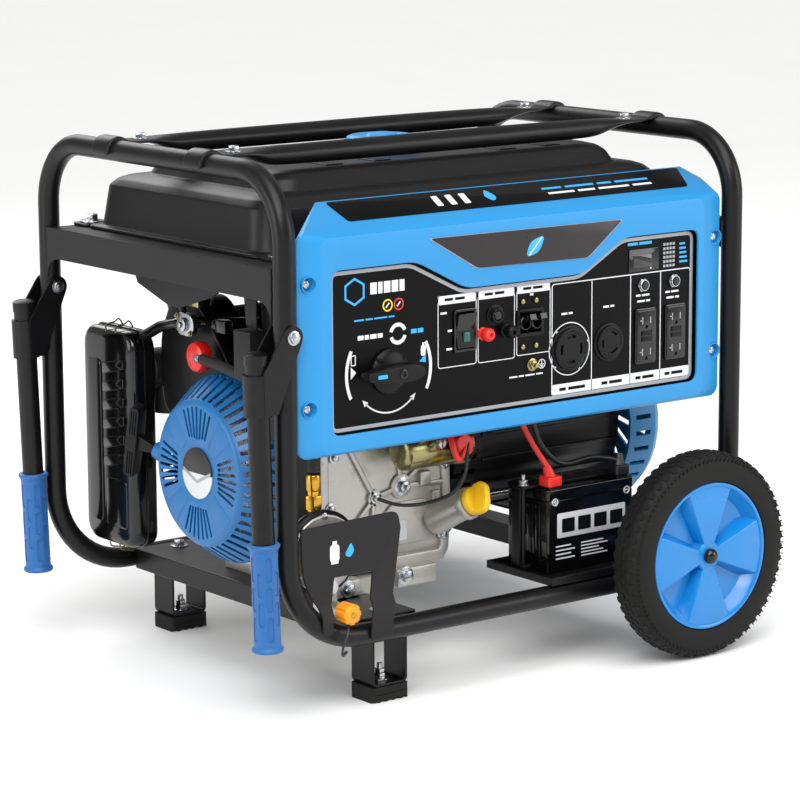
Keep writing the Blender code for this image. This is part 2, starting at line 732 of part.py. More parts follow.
def crankcase():
    x0, x1 = CASE_X
    y, z = CRANK_Y, CRANK_Z
    case = prism([(y - 82, 30), (y + 82, 30), (y + 92, 60), (y + 95, z), (y + 78, z + 55),
                  (y - 20, z + 92), (y - 66, z + 70), (y - 92, z + 20), (y - 92, 60)], "X", x0, x1)
    base = box((x0 + 12, y - 107, TUBE_R + GAP), (x1 - 36, y + 107, 32))
    barrel = prism([along_head(60, -52), along_head(150, -52), along_head(150, 52), along_head(60, 52)],
                   "X", x0 + 25, x1 - 40)
    body = union(case, base, barrel)
    body = union(body, rod(DIPSTICK - NECK * 62, DIPSTICK - NECK * 8, 17.0, 16))
    body = cut(body, crank_bore(x0 - 5, x1 + 5, SHAFT_R + 1.0),
               rod(DIPSTICK - NECK * 70, DIPSTICK + NECK * 4, 10.0, 12))
    place("crankcase", body, cast_aluminium(), smooth=False)


def cylinder_head():
    x0, x1 = CASE_X[0] + 22, CASE_X[1] - 36
    block = prism([along_head(150 + GAP, -58), along_head(205, -58), along_head(205, 58),
                   along_head(150 + GAP, 58)], "X", x0, x1)
    cover = prism([along_head(200, -42), along_head(226, -38), along_head(226, 38), along_head(200, 42)],
                  "X", x0 + 14, x1 - 14)
    place("cylinder_head", union(block, cover), cast_aluminium(), smooth=False)


def blower_housing():
    low, high = BLOWER_X
    profile = [(0, 104), (0, 111), (high - low, 111), (high - low, 40), (high - low - 3, 40),
               (high - low - 3, 104)]
    place("blower_housing", turned(profile, (low, CRANK_Y, CRANK_Z), (1, 0, 0), 32, ring=True), black_steel())


def recoil_cover():
    """A thin drum with a rounded front, and a mouth in its rear side for the rope."""
    depth = BLOWER_X[0] - GAP - RECOIL_FACE
    wall = 3.0
    profile = [(0, 8), (0, 78), (4, 85), (14, 91), (40, 108), (44, 112), (depth, 112),
               (depth, 112 - wall), (46, 112 - wall), (41, 105), (15, 88), (6, 82), (wall, 76), (wall, 8)]
    body = turned(profile, (RECOIL_FACE, CRANK_Y, CRANK_Z), (1, 0, 0), 36, ring=True)
    mouth = rod(STARTER_GRIP - PULL * 75, STARTER_GRIP - PULL * 14, ROPE_R + 3.0, 12)
    place("recoil_cover", cut(body, mouth), blue_plastic())


def starter_grip():
    """The T grip and its stem, and the stretch of rope that it can draw out."""
    along = Vector((0, 0.592, -0.806))
    side = PULL.cross(along).normalized()
    along = side.cross(PULL).normalized()

    def spot(a, b, c):
        return STARTER_GRIP + along * a + side * b + PULL * c
    outline = [(-48, -7), (48, -7), (50, 0), (48, 7), (12, 8), (5, 8), (-5, 8), (-12, 8), (-48, 7), (-50, 0)]
    bar = loft([[spot(a, -9, -c) for a, c in outline], [spot(a, 9, -c) for a, c in outline]])
    stem = loft([[spot(11, -5, -4), spot(11, 5, -4), spot(-11, 5, -4), spot(-11, -5, -4)],
                 [spot(5, -4, -28), spot(5, 4, -28), spot(-5, 4, -28), spot(-5, -4, -28)]])
    rope = rod(STARTER_GRIP - PULL * 20, STARTER_GRIP - PULL * (45 + STROKE), ROPE_R, 8)
    place("starter_grip", union(bar, stem, rope), black_plastic(), pivot=STARTER_GRIP, smooth=False)


def crankshaft():
    """The shaft through engine and alternator, with the flywheel and the rotor keyed to it."""
    wheel_x = BLOWER_X[0] + 12.0
    rotor = (HOUSING_X[0] + 25.0, HOUSING_X[1] - 10.0)
    profile = [(wheel_x - 6, SHAFT_R), (wheel_x, SHAFT_R), (wheel_x, 60), (wheel_x + 4, 92),
               (wheel_x + 14, 96), (wheel_x + 24, 96), (wheel_x + 26, SHAFT_R),
               (rotor[0], SHAFT_R), (rotor[0], ROTOR_R), (rotor[1], ROTOR_R),
               (rotor[1], 12.0), (COVER_END - 9.0, 12.0)]
    axis = (0, CRANK_Y, CRANK_Z)
    place("crankshaft", turned(profile, axis, (1, 0, 0), 24), bright_steel(), pivot=axis)


def alternator_housing():
    low, high = HOUSING_X
    length = high - low
    profile = [(0, 72), (0, 98), (12, 98), (12, HOUSING_R), (length - 12, HOUSING_R), (length, HOUSING_R - 3),
               (length, 72)]
    body = turned(profile, (low, CRANK_Y, CRANK_Z), (1, 0, 0), 32, ring=True)
    foot_block = box((550, CRANK_Y - 46, TUBE_R + GAP), (584, CRANK_Y + 46, CRANK_Z - 80))
    foot_block = cut(foot_block, box((WHEEL_X - 12, CRANK_Y - 60, 0), (WHEEL_X + 12, CRANK_Y + 60, 50)))
    place("alternator_housing", union(body, foot_block), black_steel())


def alternator_cover():
    low = HOUSING_X[1] + GAP
    depth = COVER_END - low
    profile = [(0, COVER_R), (depth - 14, COVER_R), (depth - 4, COVER_R - 6), (depth, COVER_R - 16),
               (depth, 14), (depth - 3, 14), (depth - 3, COVER_R - 18), (depth - 16, COVER_R - 4), (0, COVER_R - 4)]
    place("alternator_cover", turned(profile, (low, CRANK_Y, CRANK_Z), (1, 0, 0), 32, ring=True), blue_plastic())


def air_filter_box():
    """A tall dished case in two halves, modelled as one rounded block."""
    rings = []
    for x, inset, radius in ((45, 10, 16), (49, 3, 20), (56, 0, 22), (76, 0, 22), (80, 4, 18)):
        outline = rounded_rectangle((377 + inset, 34 + inset), (488 - inset, 301 - inset), radius, 4)
        rings.append([(x, y, z) for y, z in outline])
    place("air_filter_box", loft(rings), black_plastic())


def carburettor():
    throat = rod((80 + GAP, 400, 252), (146.5, 400, 252), 24.0, 16)
    bowl = rod((112, 400, 196), (112, 400, 240), 20.0, 16)
    flange = box((140, 372, 226), (146.5, 428, 278))
    place("carburettor", union(throat, bowl, flange), cast_aluminium())


def muffler():
    """A pressed steel silencer above the alternator, with its outlet at the right end."""
    body = prism(rounded_rectangle((300, 288), (430, 400), 30.0, 4), "X", 330, 570)
    outlet = rod((560, 400, 330), (610, 400, 330), 15.0, 12)
    pipe = rod((289.5, 345, 312), (335, 345, 312), 16.0, 12)
    hollow = prism(rounded_rectangle((303, 291), (427, 397), 27.0, 4), "X", 333, 567)
    bore = rod((550, 400, 330), (620, 400, 330), 12.0, 12)
    place("muffler", cut(union(body, outlet, pipe), hollow, bore), black_steel())


def starter_motor():
    profile = [(0, 14), (4, 22), (12, 24), (78, 24), (84, 27), (96, 27)]
    place("starter_motor", turned(profile, (222, 88, 181), (1, 0, 0), 20), bright_steel())


def dipstick():
    """A winged cap on the angled oil neck, with the stick inside the neck."""
    disc = rod(DIPSTICK - NECK * (8 - GAP), DIPSTICK, 18.0, 20)
    side, up = across(NECK)

    def spot(a, b, c):
        return DIPSTICK + side * a + up * b + NECK * c
    wing = loft([[spot(-17, -3.5, -2), spot(17, -3.5, -2), spot(17, 3.5, -2), spot(-17, 3.5, -2)],
                 [spot(-15, -3, 15), spot(15, -3, 15), spot(15, 3, 15), spot(-15, 3, 15)]])
    stick = rod(DIPSTICK - NECK * 60, DIPSTICK - NECK * 2, 3.0, 8)
    place("dipstick", union(disc, wing, stick), yellow_plastic(), pivot=DIPSTICK)


# ---------------------------------------------------------------- battery

def battery():
    lo, hi = BATTERY_LO, BATTERY_HI
    case = prism(rounded_rectangle(lo[:2], hi[:2], 3.0, 2), "Z", lo[2], hi[2])
    for x in (lo[0] + 14, hi[0] - 14):
        post = box((x - 8, lo[1] + 4, hi[2] - 1), (x + 8, lo[1] + 20, hi[2] + 8))
        case = union(case, post)
    place("battery", case, black_plastic(), smooth=False)


def battery_tray():
    x0, x1 = TRAY_X
    low = TUBE_R + GAP
    plate = box((x0, -8, low), (x1, BATTERY_HI[1] + 8, low + 3))
    body = plate
    for edge in ((-8, -5), (BATTERY_HI[1] + 5, BATTERY_HI[1] + 8)):
        body = union(body, box((x0, edge[0], low), (x1, edge[1], low + 10)))
    body = union(body, box((x0, -8, low), (x0 + 3, BATTERY_HI[1] + 8, low + 10)))
    place("battery_tray", body, black_steel(), smooth=False)


def battery_cables():
    top = BATTERY_HI[2] + 9.5
    ceiling = BOX_Z[0] - 1.5
    routes = {
        "battery_cable_red": ([(419, 44, top), (418, 45, top + 12), (400, 54, top + 45),
                               (387, 61, ceiling - 14), (386, 62, ceiling)], red_plastic()),
        "battery_cable_black": ([(527, 44, top), (525, 45, top + 10), (492, 52, top + 17),
                                 (450, 58, top + 14), (420, 62, top + 40), (408, 66, ceiling - 12),
                                 (407, 67, ceiling)], black_rubber()),
    }
    for name, (points, finish) in routes.items():
        place(name, sweep(smooth_curve(points, 4), 3.4, 8), finish)


# ---------------------------------------------------------------- gas inlet

def lpg_plate():
    """A sheet that fills the lower left corner, cranked out over the rail at its foot."""
    y = PLATE_Y
    out = -TUBE_R - GAP
    low = -3.0
    crank = [(y, 145), (y, 42), (out, 32), (out, low), (out - SHEET, low), (out - SHEET, 33),
             (y - SHEET, 43.5), (y - SHEET, 145)]
    sheet = prism(crank, "X", 0, 170)
    bend = LOWER_BEND - TUBE_R - 1.0
    left = arc((LOWER_BEND, LOWER_BEND), bend, 180, 222, 5)
    outline = ([(13.0, 135)] + [(max(x, 13.0), z) for x, z in left]
               + [(38, 12), (50, 12), (58, 74), (112, 74), (104, low), (134, low), (152, 118)]
               + arc((140, 128), 10, 0, 90, 3))
    place("lpg_plate", combine(sheet, prism(outline, "Y", -40, 20), "INTERSECT"), black_steel(), smooth=False)


def lpg_regulator():
    x, z = REGULATOR
    drum = turned([(0, 30), (0, 44), (8, 47), (14, 47), (22, 44), (30, 30)], (x, 16, z), (0, 1, 0), 24)
    arm = box((INLET[0] - 11, 20, INLET[1] - 11), (INLET[0] + 11, 38, z - 30))
    inlet = rod((INLET[0], -3, INLET[1]), (INLET[0], 22, INLET[1]), 9.0, 16)
    place("lpg_regulator", union(drum, arm, inlet), black_plastic())


def lpg_cap():
    x, z = INLET
    profile = [(-26, 9), (-24, 13), (-4, 14), (-3.3, 14)]
    place("lpg_inlet_cap", turned(profile, (x, 0, z), (0, 1, 0), 8), orange_plastic(), pivot=(x, 0, z),
          smooth=False)


def lpg_hose():
    x, y = 46.0, 32.0
    foot_z = REGULATOR[1] + 47.5
    length = BOX_Z[0] - GAP - foot_z
    profile = [(0, 7), (4, 7), (4, 11), (16, 11), (16, 8.5), (24, 8.5), (24, 10), (46, 9), (46, 7),
               (length, 7)]
    place("lpg_hose", turned(profile, (x, y, foot_z), (0, 0, 1), 12), black_rubber())


def main():
    clear_scene()
    for side in ("left", "right"):
        hoop(side)
        tank_rail(side)
    for which in ("front", "rear"):
        top_bar(which)
        foot(which)
        wheel(which)
        handle(which)
        grip(which)
        pivot_bolt(which)
    cross_members()
    axle()
    fuel_tank()
    fuel_cap()
    panel_bezel()
    panel_face()
    control_box()
    selector_knob()
    engine_switch()
    push_button("dc_breaker_button", DC_BREAKER, black_plastic())
    for which in ("left", "right"):
        push_button("reset_button_" + which, RESETS[which], bright_steel())
        duplex_outlet(which)
    for which in TWIST_OUTLETS:
        twist_outlet(which)
    main_breaker()
    crankcase()
    cylinder_head()
    blower_housing()
    recoil_cover()
    starter_grip()
    crankshaft()
    alternator_housing()
    alternator_cover()
    air_filter_box()
    carburettor()
    muffler()
    starter_motor()
    dipstick()
    battery()
    battery_tray()
    battery_cables()
    lpg_plate()
    lpg_regulator()
    lpg_cap()
    lpg_hose()


main()
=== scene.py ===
"""Looks of an open-frame portable generator: smooth tubes, moulded covers, castings,
fasteners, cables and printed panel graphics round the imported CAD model.

Pieces are modelled in millimetres from the frame's own corner, where the centre lines of the
left post and the front rail would cross, and moved to the model's origin when they are made.
"""
import math

import bmesh
import bpy
from mathutils import Matrix, Vector


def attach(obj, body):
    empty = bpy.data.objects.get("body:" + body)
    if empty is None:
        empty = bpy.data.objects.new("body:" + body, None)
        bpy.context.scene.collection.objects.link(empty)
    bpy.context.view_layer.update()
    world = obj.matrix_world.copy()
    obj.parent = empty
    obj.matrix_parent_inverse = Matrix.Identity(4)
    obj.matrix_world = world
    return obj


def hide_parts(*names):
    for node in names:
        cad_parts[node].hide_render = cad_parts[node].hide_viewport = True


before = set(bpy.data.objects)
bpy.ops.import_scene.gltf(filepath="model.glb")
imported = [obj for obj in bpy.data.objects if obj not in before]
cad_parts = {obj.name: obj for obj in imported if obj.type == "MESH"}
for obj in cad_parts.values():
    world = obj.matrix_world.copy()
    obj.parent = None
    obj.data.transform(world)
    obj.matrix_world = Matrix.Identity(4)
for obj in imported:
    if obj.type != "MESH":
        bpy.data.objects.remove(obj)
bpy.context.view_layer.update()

bl_info = {
    "name": "Portable Generator Looks",
    "version": (1, 0, 0),
    "blender": (4, 5, 0),
    "location": "View3D > Sidebar > Generator",
    "description": "Detailed pieces and procedural finishes for a portable generator",
    "category": "Object",
}

MM = 0.001
CORNER = Vector((-319.45, -241.2, 90.5))     # the frame's corner, from the model's origin
LENGTH = 669.1
WIDTH = 482.4
TOP_Z = 527.6
TUBE_R = 12.7
SEAM_X = 335.0
WHEEL_X = 567.0
WHEEL_R = 126.0
WHEEL_Z = 35.0
RIM_R = 89.5
CRANK = (212.0, 161.0)                        # the crankshaft's y and z
WHEEL_OUT = 81.0                              # from a rail's centre line to its tyre's outer wall
PIVOT_Z = 352.0
FACE_Y = 2.0                                  # the front of the control panel's face
SELECTOR = (144.5, 297.0)                     # the fuel selector's x and z
UP = (0, 0, 1)
FORWARD = (0, -1, 0)
REARWARD = (0, 1, 0)
BODY = "machine"


# ---------------------------------------------------------------- modelling tools

def join(*shapes):
    """Put several shapes into the first one."""
    whole = shapes[0]
    for shape in shapes[1:]:
        carrier = bpy.data.meshes.new("carrier")
        shape.to_mesh(carrier)
        shape.free()
        whole.from_mesh(carrier)
        bpy.data.meshes.remove(carrier)
    return whole


def moved(shape, matrix):
    bmesh.ops.transform(shape, matrix=matrix, verts=shape.verts)
    return shape


def around(make, count, centre, axis='X', skip=0.0):
    """Shapes set evenly round an axis through a centre; skip turns them by part of a step."""
    step = 2 * math.pi / count
    return [moved(make(), Matrix.Translation(centre) @ Matrix.Rotation((i + skip) * step, 4, axis))
            for i in range(count)]


def eased(shape, width, segments=2, sharp=25.0):
    """Round the edges that are sharper than an angle."""
    bmesh.ops.recalc_face_normals(shape, faces=shape.faces)
    edges = [e for e in shape.edges if len(e.link_faces) == 2
             and math.degrees(e.calc_face_angle(0.0)) > sharp]
    if width > 0:
        bmesh.ops.bevel(shape, geom=edges, offset=width, affect='EDGES', segments=segments,
                        profile=0.5, material=-1, clamp_overlap=True)
    return shape


def block(low, high, ease=0.0, segments=2):
    shape = bmesh.new()
    bmesh.ops.create_cube(shape, size=1.0)
    low, high = Vector(low), Vector(high)
    bmesh.ops.scale(shape, verts=shape.verts, vec=high - low)
    bmesh.ops.translate(shape, verts=shape.verts, vec=(low + high) / 2)
    return eased(shape, ease, segments)


def slab(outline, axis, low, high, ease=0.0, segments=2, taper=0.0):
    """Extrude an outline along an axis; taper draws the high end in towards its middle."""
    place = {"X": lambda a, b: (low, a, b), "Y": lambda a, b: (a, low, b),
             "Z": lambda a, b: (a, b, low)}[axis]
    along = {"X": (high - low, 0, 0), "Y": (0, high - low, 0), "Z": (0, 0, high - low)}[axis]
    shape = bmesh.new()
    face = shape.faces.new([shape.verts.new(place(a, b)) for a, b in outline])
    grown = bmesh.ops.extrude_face_region(shape, geom=[face])
    tip = [v for v in grown["geom"] if isinstance(v, bmesh.types.BMVert)]
    bmesh.ops.translate(shape, verts=tip, vec=along)
    if taper:
        middle = sum((v.co for v in tip), Vector()) / len(tip)
        bmesh.ops.scale(shape, verts=tip, vec=(1 - taper, 1 - taper, 1 - taper),
                        space=Matrix.Translation(-middle))
    return eased(shape, ease, segments)


def to_axis(origin, direction):
    """Carries Z to a direction and zero to an origin."""
    turn = Vector(UP).rotation_difference(Vector(direction).normalized())
    return Matrix.Translation(Vector(origin)) @ turn.to_matrix().to_4x4()


def spun(profile, origin, direction, steps=48, closed=True):
    """Turn a profile of (distance along the axis, radius), whose ends lie on the axis or meet."""
    shape = bmesh.new()
    points = [shape.verts.new((max(r, 0.0), 0.0, d)) for d, r in profile]
    edges = [shape.edges.new(pair) for pair in zip(points, points[1:])]
    if closed and profile[0][1] > 0.01:
        edges.append(shape.edges.new((points[-1], points[0])))
    bmesh.ops.spin(shape, geom=points + edges, cent=(0, 0, 0), axis=UP,
                   angle=2 * math.pi, steps=steps, use_merge=True)
    bmesh.ops.remove_doubles(shape, verts=shape.verts, dist=0.001)
    bmesh.ops.recalc_face_normals(shape, faces=shape.faces)
    return moved(shape, to_axis(origin, direction))


def disc(origin, direction, radius, thick, ease=0.5, steps=32):
    """A solid turned disc with eased rims, standing on its origin."""
    e = min(ease, thick * 0.45, radius * 0.45)
    profile = [(0, 0), (0, radius - e), (e * 0.3, radius - e * 0.3), (e, radius), (thick - e, radius),
               (thick - e * 0.3, radius - e * 0.3), (thick, radius - e), (thick, 0)]
    return spun(profile, origin, direction, steps)


def rod(start, end, radius, sides=24):
    start, end = Vector(start), Vector(end)
    return disc(start, end - start, radius, (end - start).length, 0.3, sides)


def hexagon(origin, direction, radius, thick, ease=0.6):
    """A hexagon bar end, such as a nut or a bolt head, standing on its origin."""
    return moved(slab(polygon((0, 0), radius, 6), "Z", 0.0, thick, ease), to_axis(origin, direction))


def bolt(origin, direction, radius=6.0, washer=1.7):
    """A flanged hexagon head on a washer, with a dimple in its top."""
    origin, direction = Vector(origin), Vector(direction).normalized()
    head = origin + direction * 1.2
    return join(disc(origin, direction, radius * washer, 1.2, 0.4, 28),
                hexagon(head, direction, radius, radius * 0.85),
                disc(head + direction * radius * 0.8, direction, radius * 0.55, 0.8, 0.3, 20))


def arc(centre, radius, start, end, steps=8):
    """Points on an arc, with angles in degrees."""
    turns = [math.radians(start + (end - start) * i / steps) for i in range(steps + 1)]
    return [(centre[0] + radius * math.cos(t), centre[1] + radius * math.sin(t)) for t in turns]


def rounded(low, high, radius, steps=6):
    (x0, y0), (x1, y1) = low, high
    r = radius
    return (arc((x1 - r, y0 + r), r, -90, 0, steps) + arc((x1 - r, y1 - r), r, 0, 90, steps)
            + arc((x0 + r, y1 - r), r, 90, 180, steps) + arc((x0 + r, y0 + r), r, 180, 270, steps))


def softened(outline, radius, steps=5):
    """The outline with each corner rounded off by an arc-like curve."""
    points = []
    for i, corner in enumerate(outline):
        corner = Vector(corner)
        before, after = Vector(outline[i - 1]), Vector(outline[(i + 1) % len(outline)])
        back, on = before - corner, after - corner
        reach = min(radius, back.length * 0.45, on.length * 0.45)
        a, b = corner + back.normalized() * reach, corner + on.normalized() * reach
        for k in range(steps + 1):
            t = k / steps
            points.append(tuple((1 - t) ** 2 * a + 2 * t * (1 - t) * corner + t * t * b))
    return points


def polygon(centre, radius, count, first=0.0):
    """The corners of a regular polygon, with the first corner's angle in degrees."""
    turns = [math.radians(first + 360 * i / count) for i in range(count)]
    return [(centre[0] + radius * math.cos(t), centre[1] + radius * math.sin(t)) for t in turns]


def bar(x, z, width, height, lean=0.0):
    """A rectangle from its lower left corner, or a slanted one."""
    return [(x, z), (x + width, z), (x + width + lean, z + height), (x + lean, z + height)]


def lofted(rings):
    """A closed form through rings of as many points each."""
    shape = bmesh.new()
    hoops = []
    for ring in rings:
        points = [shape.verts.new(p) for p in ring]
        hoops.append([shape.edges.new((a, b)) for a, b in zip(points, points[1:] + points[:1])])
        if ring in (rings[0], rings[-1]):
            shape.faces.new(points)
    for near, far in zip(hoops, hoops[1:]):
        bmesh.ops.bridge_loops(shape, edges=near + far)
    bmesh.ops.recalc_face_normals(shape, faces=shape.faces)
    return shape


def ring_sector(centre, inner, outer, start, end, steps=16):
    return arc(centre, outer, start, end, steps) + arc(centre, inner, end, start, steps)


def frame_line(outline, axis, low, high, width):
    """A raised line that follows an outline: the outline's face, inset, keeping the rim."""
    shape = slab(outline, axis, low, high)
    caps = sorted(shape.faces, key=lambda f: -len(f.verts))[:2]
    for cap in caps:
        bmesh.ops.inset_region(shape, faces=[cap], thickness=width, use_even_offset=True)
    inner = sorted(shape.faces, key=lambda f: -len(f.verts))[:2]
    bmesh.ops.bridge_loops(shape, edges=list({e for f in inner for e in f.edges}))
    bmesh.ops.delete(shape, geom=inner, context='FACES')
    return shape


def filleted(corners, radii, steps=10):
    """A centre line through corners, with an arc at each inner corner."""
    corners = [Vector(c) for c in corners]
    path = [corners[0]]
    for before, corner, after, radius in zip(corners, corners[1:], corners[2:], radii):
        enter, leave = (corner - before).normalized(), (after - corner).normalized()
        turn = enter.angle(leave)
        reach = radius * math.tan(turn / 2)
        middle = corner - enter * reach + (leave - enter * enter.dot(leave)).normalized() * radius
        spoke = corner - enter * reach - middle
        for i in range(steps + 1):
            swing = turn * i / steps
            path.append(middle + spoke * math.cos(swing) + enter * radius * math.sin(swing))
    path.append(corners[-1])
    return path


def flowing(points, steps=6):
    """Points read from a smooth curve through given points."""
    points = [Vector(p) for p in points]
    ends = [2 * points[0] - points[1]] + points + [2 * points[-1] - points[-2]]
    path = []
    for i in range(1, len(ends) - 2):
        a, b, c, d = ends[i - 1:i + 3]
        for k in range(steps):
            t = k / steps
            path.append(0.5 * (2 * b + (c - a) * t + (2 * a - 5 * b + 4 * c - d) * t * t
                               + (3 * b - a - 3 * c + d) * t ** 3))
    return path + [points[-1]]


def tube(path, radius, resolution=6):
    """A round bar along a path, made with a bevelled curve."""
    curve = bpy.data.curves.new("path", 'CURVE')
    curve.dimensions = '3D'
    curve.bevel_depth = radius
    curve.bevel_resolution = resolution
    curve.use_fill_caps = True
    spline = curve.splines.new('POLY')
    spline.points.add(len(path) - 1)
    for point, place in zip(spline.points, path):
        point.co = (*place, 1.0)
    holder = bpy.data.objects.new("path", curve)
    bpy.context.scene.collection.objects.link(holder)
    shape = shape_of(holder)
    bpy.data.objects.remove(holder, do_unlink=True)
    bpy.data.curves.remove(curve)
    return shape


def shape_of(holder):
    """The evaluated mesh of an object, as a bmesh."""
    view = bpy.context.evaluated_depsgraph_get()
    seen = holder.evaluated_get(view)
    shape = bmesh.new()
    shape.from_mesh(seen.to_mesh())
    seen.to_mesh_clear()
    bmesh.ops.remove_doubles(shape, verts=shape.verts, dist=1e-4)
    return shape


def carved(shape, *cutters):
    """The shape less the cutters, by an exact Boolean."""
    tool = join(*cutters)
    holders = []
    for body in (shape, tool):
        bmesh.ops.recalc_face_normals(body, faces=body.faces)
        mesh = bpy.data.meshes.new("operand")
        body.to_mesh(mesh)
        body.free()
        holders.append(bpy.data.objects.new("operand", mesh))
        bpy.context.scene.collection.objects.link(holders[-1])
    cut = holders[0].modifiers.new("cut", 'BOOLEAN')
    cut.operation = 'DIFFERENCE'
    cut.solver = 'EXACT'
    cut.use_self = True
    cut.object = holders[1]
    result = shape_of(holders[0])
    for holder in holders:
        mesh = holder.data
        bpy.data.objects.remove(holder, do_unlink=True)
        bpy.data.meshes.remove(mesh)
    return result


def piece(name, shape, finish, body=BODY, stands_for=(), smooth=35.0):
    """Make the named piece from a shape in millimetres, and join it to its CAD body."""
    bmesh.ops.recalc_face_normals(shape, faces=shape.faces)
    bmesh.ops.translate(shape, verts=shape.verts, vec=CORNER)
    bmesh.ops.scale(shape, verts=shape.verts, vec=(MM, MM, MM))
    mesh = bpy.data.meshes.new(name)
    shape.to_mesh(mesh)
    shape.free()
    made = bpy.data.objects.new(name, mesh)
    bpy.context.scene.collection.objects.link(made)
    mesh.materials.append(FINISHES[finish]())
    mesh.shade_smooth()
    mesh.set_sharp_from_angle(angle=math.radians(smooth))
    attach(made, body)
    if stands_for:
        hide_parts(*stands_for)
    return made


def refined(node, finish, body=BODY, ease=0.8, segments=2, sharp=35.0, levels=0, cutters=()):
    """A welded copy of a CAD node with its edges eased, or with its form subdivided."""
    shape = bmesh.new()
    shape.from_mesh(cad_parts[node].data)
    bmesh.ops.scale(shape, verts=shape.verts, vec=(1 / MM, 1 / MM, 1 / MM))
    bmesh.ops.translate(shape, verts=shape.verts, vec=-CORNER)
    bmesh.ops.remove_doubles(shape, verts=shape.verts, dist=0.005)
    bmesh.ops.dissolve_limit(shape, angle_limit=math.radians(0.6), verts=shape.verts, edges=shape.edges)
    if cutters:
        shape = carved(shape, *cutters)
        bmesh.ops.dissolve_limit(shape, angle_limit=math.radians(0.6), verts=shape.verts, edges=shape.edges)
    made = piece(node + "_finish", shape, finish, body, (node,), sharp)
    if ease:
        bevel = made.modifiers.new("eased edges", 'BEVEL')
        bevel.width = ease * MM
        bevel.segments = segments
        bevel.limit_method = 'ANGLE'
        bevel.angle_limit = math.radians(sharp)
        bevel.harden_normals = False
    if levels:
        finer = made.modifiers.new("finer", 'SUBSURF')
        finer.levels = levels
        finer.render_levels = levels
    return made


# ---------------------------------------------------------------- finishes

def linear(code):
    """A linear colour from an sRGB hex code."""
    parts = [int(code[i:i + 2], 16) / 255 for i in (1, 3, 5)]
    return tuple(p / 12.92 if p <= 0.04045 else ((p + 0.055) / 1.055) ** 2.4 for p in parts) + (1.0,)


def add(tree, kind, settings=None, values=None, links=None):
    """One shader node with its settings, its socket values and its incoming links."""
    node = tree.nodes.new(kind)
    for key, value in (settings or {}).items():
        setattr(node, key, value)
    for key, value in (values or {}).items():
        node.inputs[key].default_value = value
    for key, source in (links or {}).items():
        tree.links.new(source, node.inputs[key])
    return node


def setting(name):
    """A size or colour from the sidebar panel's settings."""
    return getattr(bpy.context.scene.generator, name)


def mixed(tree, first, second, factor):
    """A mix of two colours, each a constant or another node's output."""
    mix = add(tree, "ShaderNodeMix", {"data_type": 'RGBA'}, links={"Factor": factor})
    for letter, colour in (("A", first), ("B", second)):
        socket = next(s for s in mix.inputs if s.type == 'RGBA' and s.name == letter)
        if isinstance(colour, tuple):
            socket.default_value = colour
        else:
            tree.links.new(colour, socket)
    return next(s for s in mix.outputs if s.type == 'RGBA')


def surface(name, colour, roughness, grain, depth, metallic=0.0, mottle=0.06, patch=40.0,
            rough_swing=0.08, dirt=None, dirt_amount=0.0, shader=None):
    """A Principled surface whose colour, roughness and relief vary over the object.

    The colour is an sRGB hex code or a linear colour. grain and patch are the sizes of the relief
    and of the colour patches in millimetres, and depth is the relief's height in millimetres.
    """
    made = bpy.data.materials.get(name)
    if made:
        return made
    made = bpy.data.materials.new(name)
    made.use_nodes = True
    tree = made.node_tree
    tree.nodes.clear()
    place = add(tree, "ShaderNodeTexCoord")
    fine = add(tree, "ShaderNodeTexNoise", links={"Vector": place.outputs["Object"]},
               values={"Scale": 1 / (grain * MM), "Detail": 3.0, "Roughness": 0.55})
    broad = add(tree, "ShaderNodeTexNoise", links={"Vector": place.outputs["Object"]},
                values={"Scale": 1 / (patch * MM), "Detail": 5.0, "Roughness": 0.6})
    base = linear(colour) if isinstance(colour, str) else tuple(colour)
    dark = tuple(c * (1 - mottle) for c in base[:3]) + (1.0,)
    light = tuple(min(1.0, c * (1 + mottle)) for c in base[:3]) + (1.0,)
    tone = mixed(tree, dark, light, broad.outputs["Fac"])
    if dirt:
        speck = add(tree, "ShaderNodeMapRange", links={"Value": broad.outputs["Fac"]},
                    values={"From Min": 0.55, "From Max": 0.8, "To Min": 0.0, "To Max": dirt_amount})
        tone = mixed(tree, tone, linear(dirt), speck.outputs["Result"])
    rough = add(tree, "ShaderNodeMapRange", values={"To Min": max(0.02, roughness - rough_swing),
                                                    "To Max": roughness + rough_swing},
                links={"Value": broad.outputs["Fac"]})
    relief = add(tree, "ShaderNodeBump", values={"Strength": 1.0, "Distance": depth * MM},
                 links={"Height": fine.outputs["Fac"]})
    finish = add(tree, "ShaderNodeBsdfPrincipled", values={"Metallic": metallic, **(shader or {})},
                 links={"Base Color": tone, "Roughness": rough.outputs["Result"],
                        "Normal": relief.outputs["Normal"]})
    add(tree, "ShaderNodeOutputMaterial", links={"Surface": finish.outputs["BSDF"]})
    return made


def powder_coat():
    # Polyester powder melted onto steel: satin black with a fine orange-peel ripple.
    return surface("satin_black_powder_coat", "#0C0B0C", 0.36, 2.2, 0.03, mottle=0.12, patch=60,
                   dirt="#262423", dirt_amount=0.35, shader={"Specular IOR Level": 0.28})


def sheet_coat():
    # The same powder on flat sheet, a little greyer because light rakes across it.
    return surface("grey_black_powder_coat_on_sheet", "#1D1B1C", 0.5, 1.8, 0.03, mottle=0.10, patch=50,
                   shader={"Specular IOR Level": 0.25})


def blue_cover():
    # Injection-moulded polypropylene with a fine spark-eroded texture that softens highlights.
    return surface("moulded_blue_polypropylene", setting("cover_colour"), 0.40, 0.9, 0.012, mottle=0.035,
                   patch=120, shader={"Specular IOR Level": 0.5})


def blue_starter():
    # The starter cover is the same plastic as the other covers; its darker blue is painted shade.
    return surface("moulded_blue_starter_cover", setting("starter_shaded_colour"), 0.38, 0.9, 0.012, mottle=0.04,
                   patch=90)


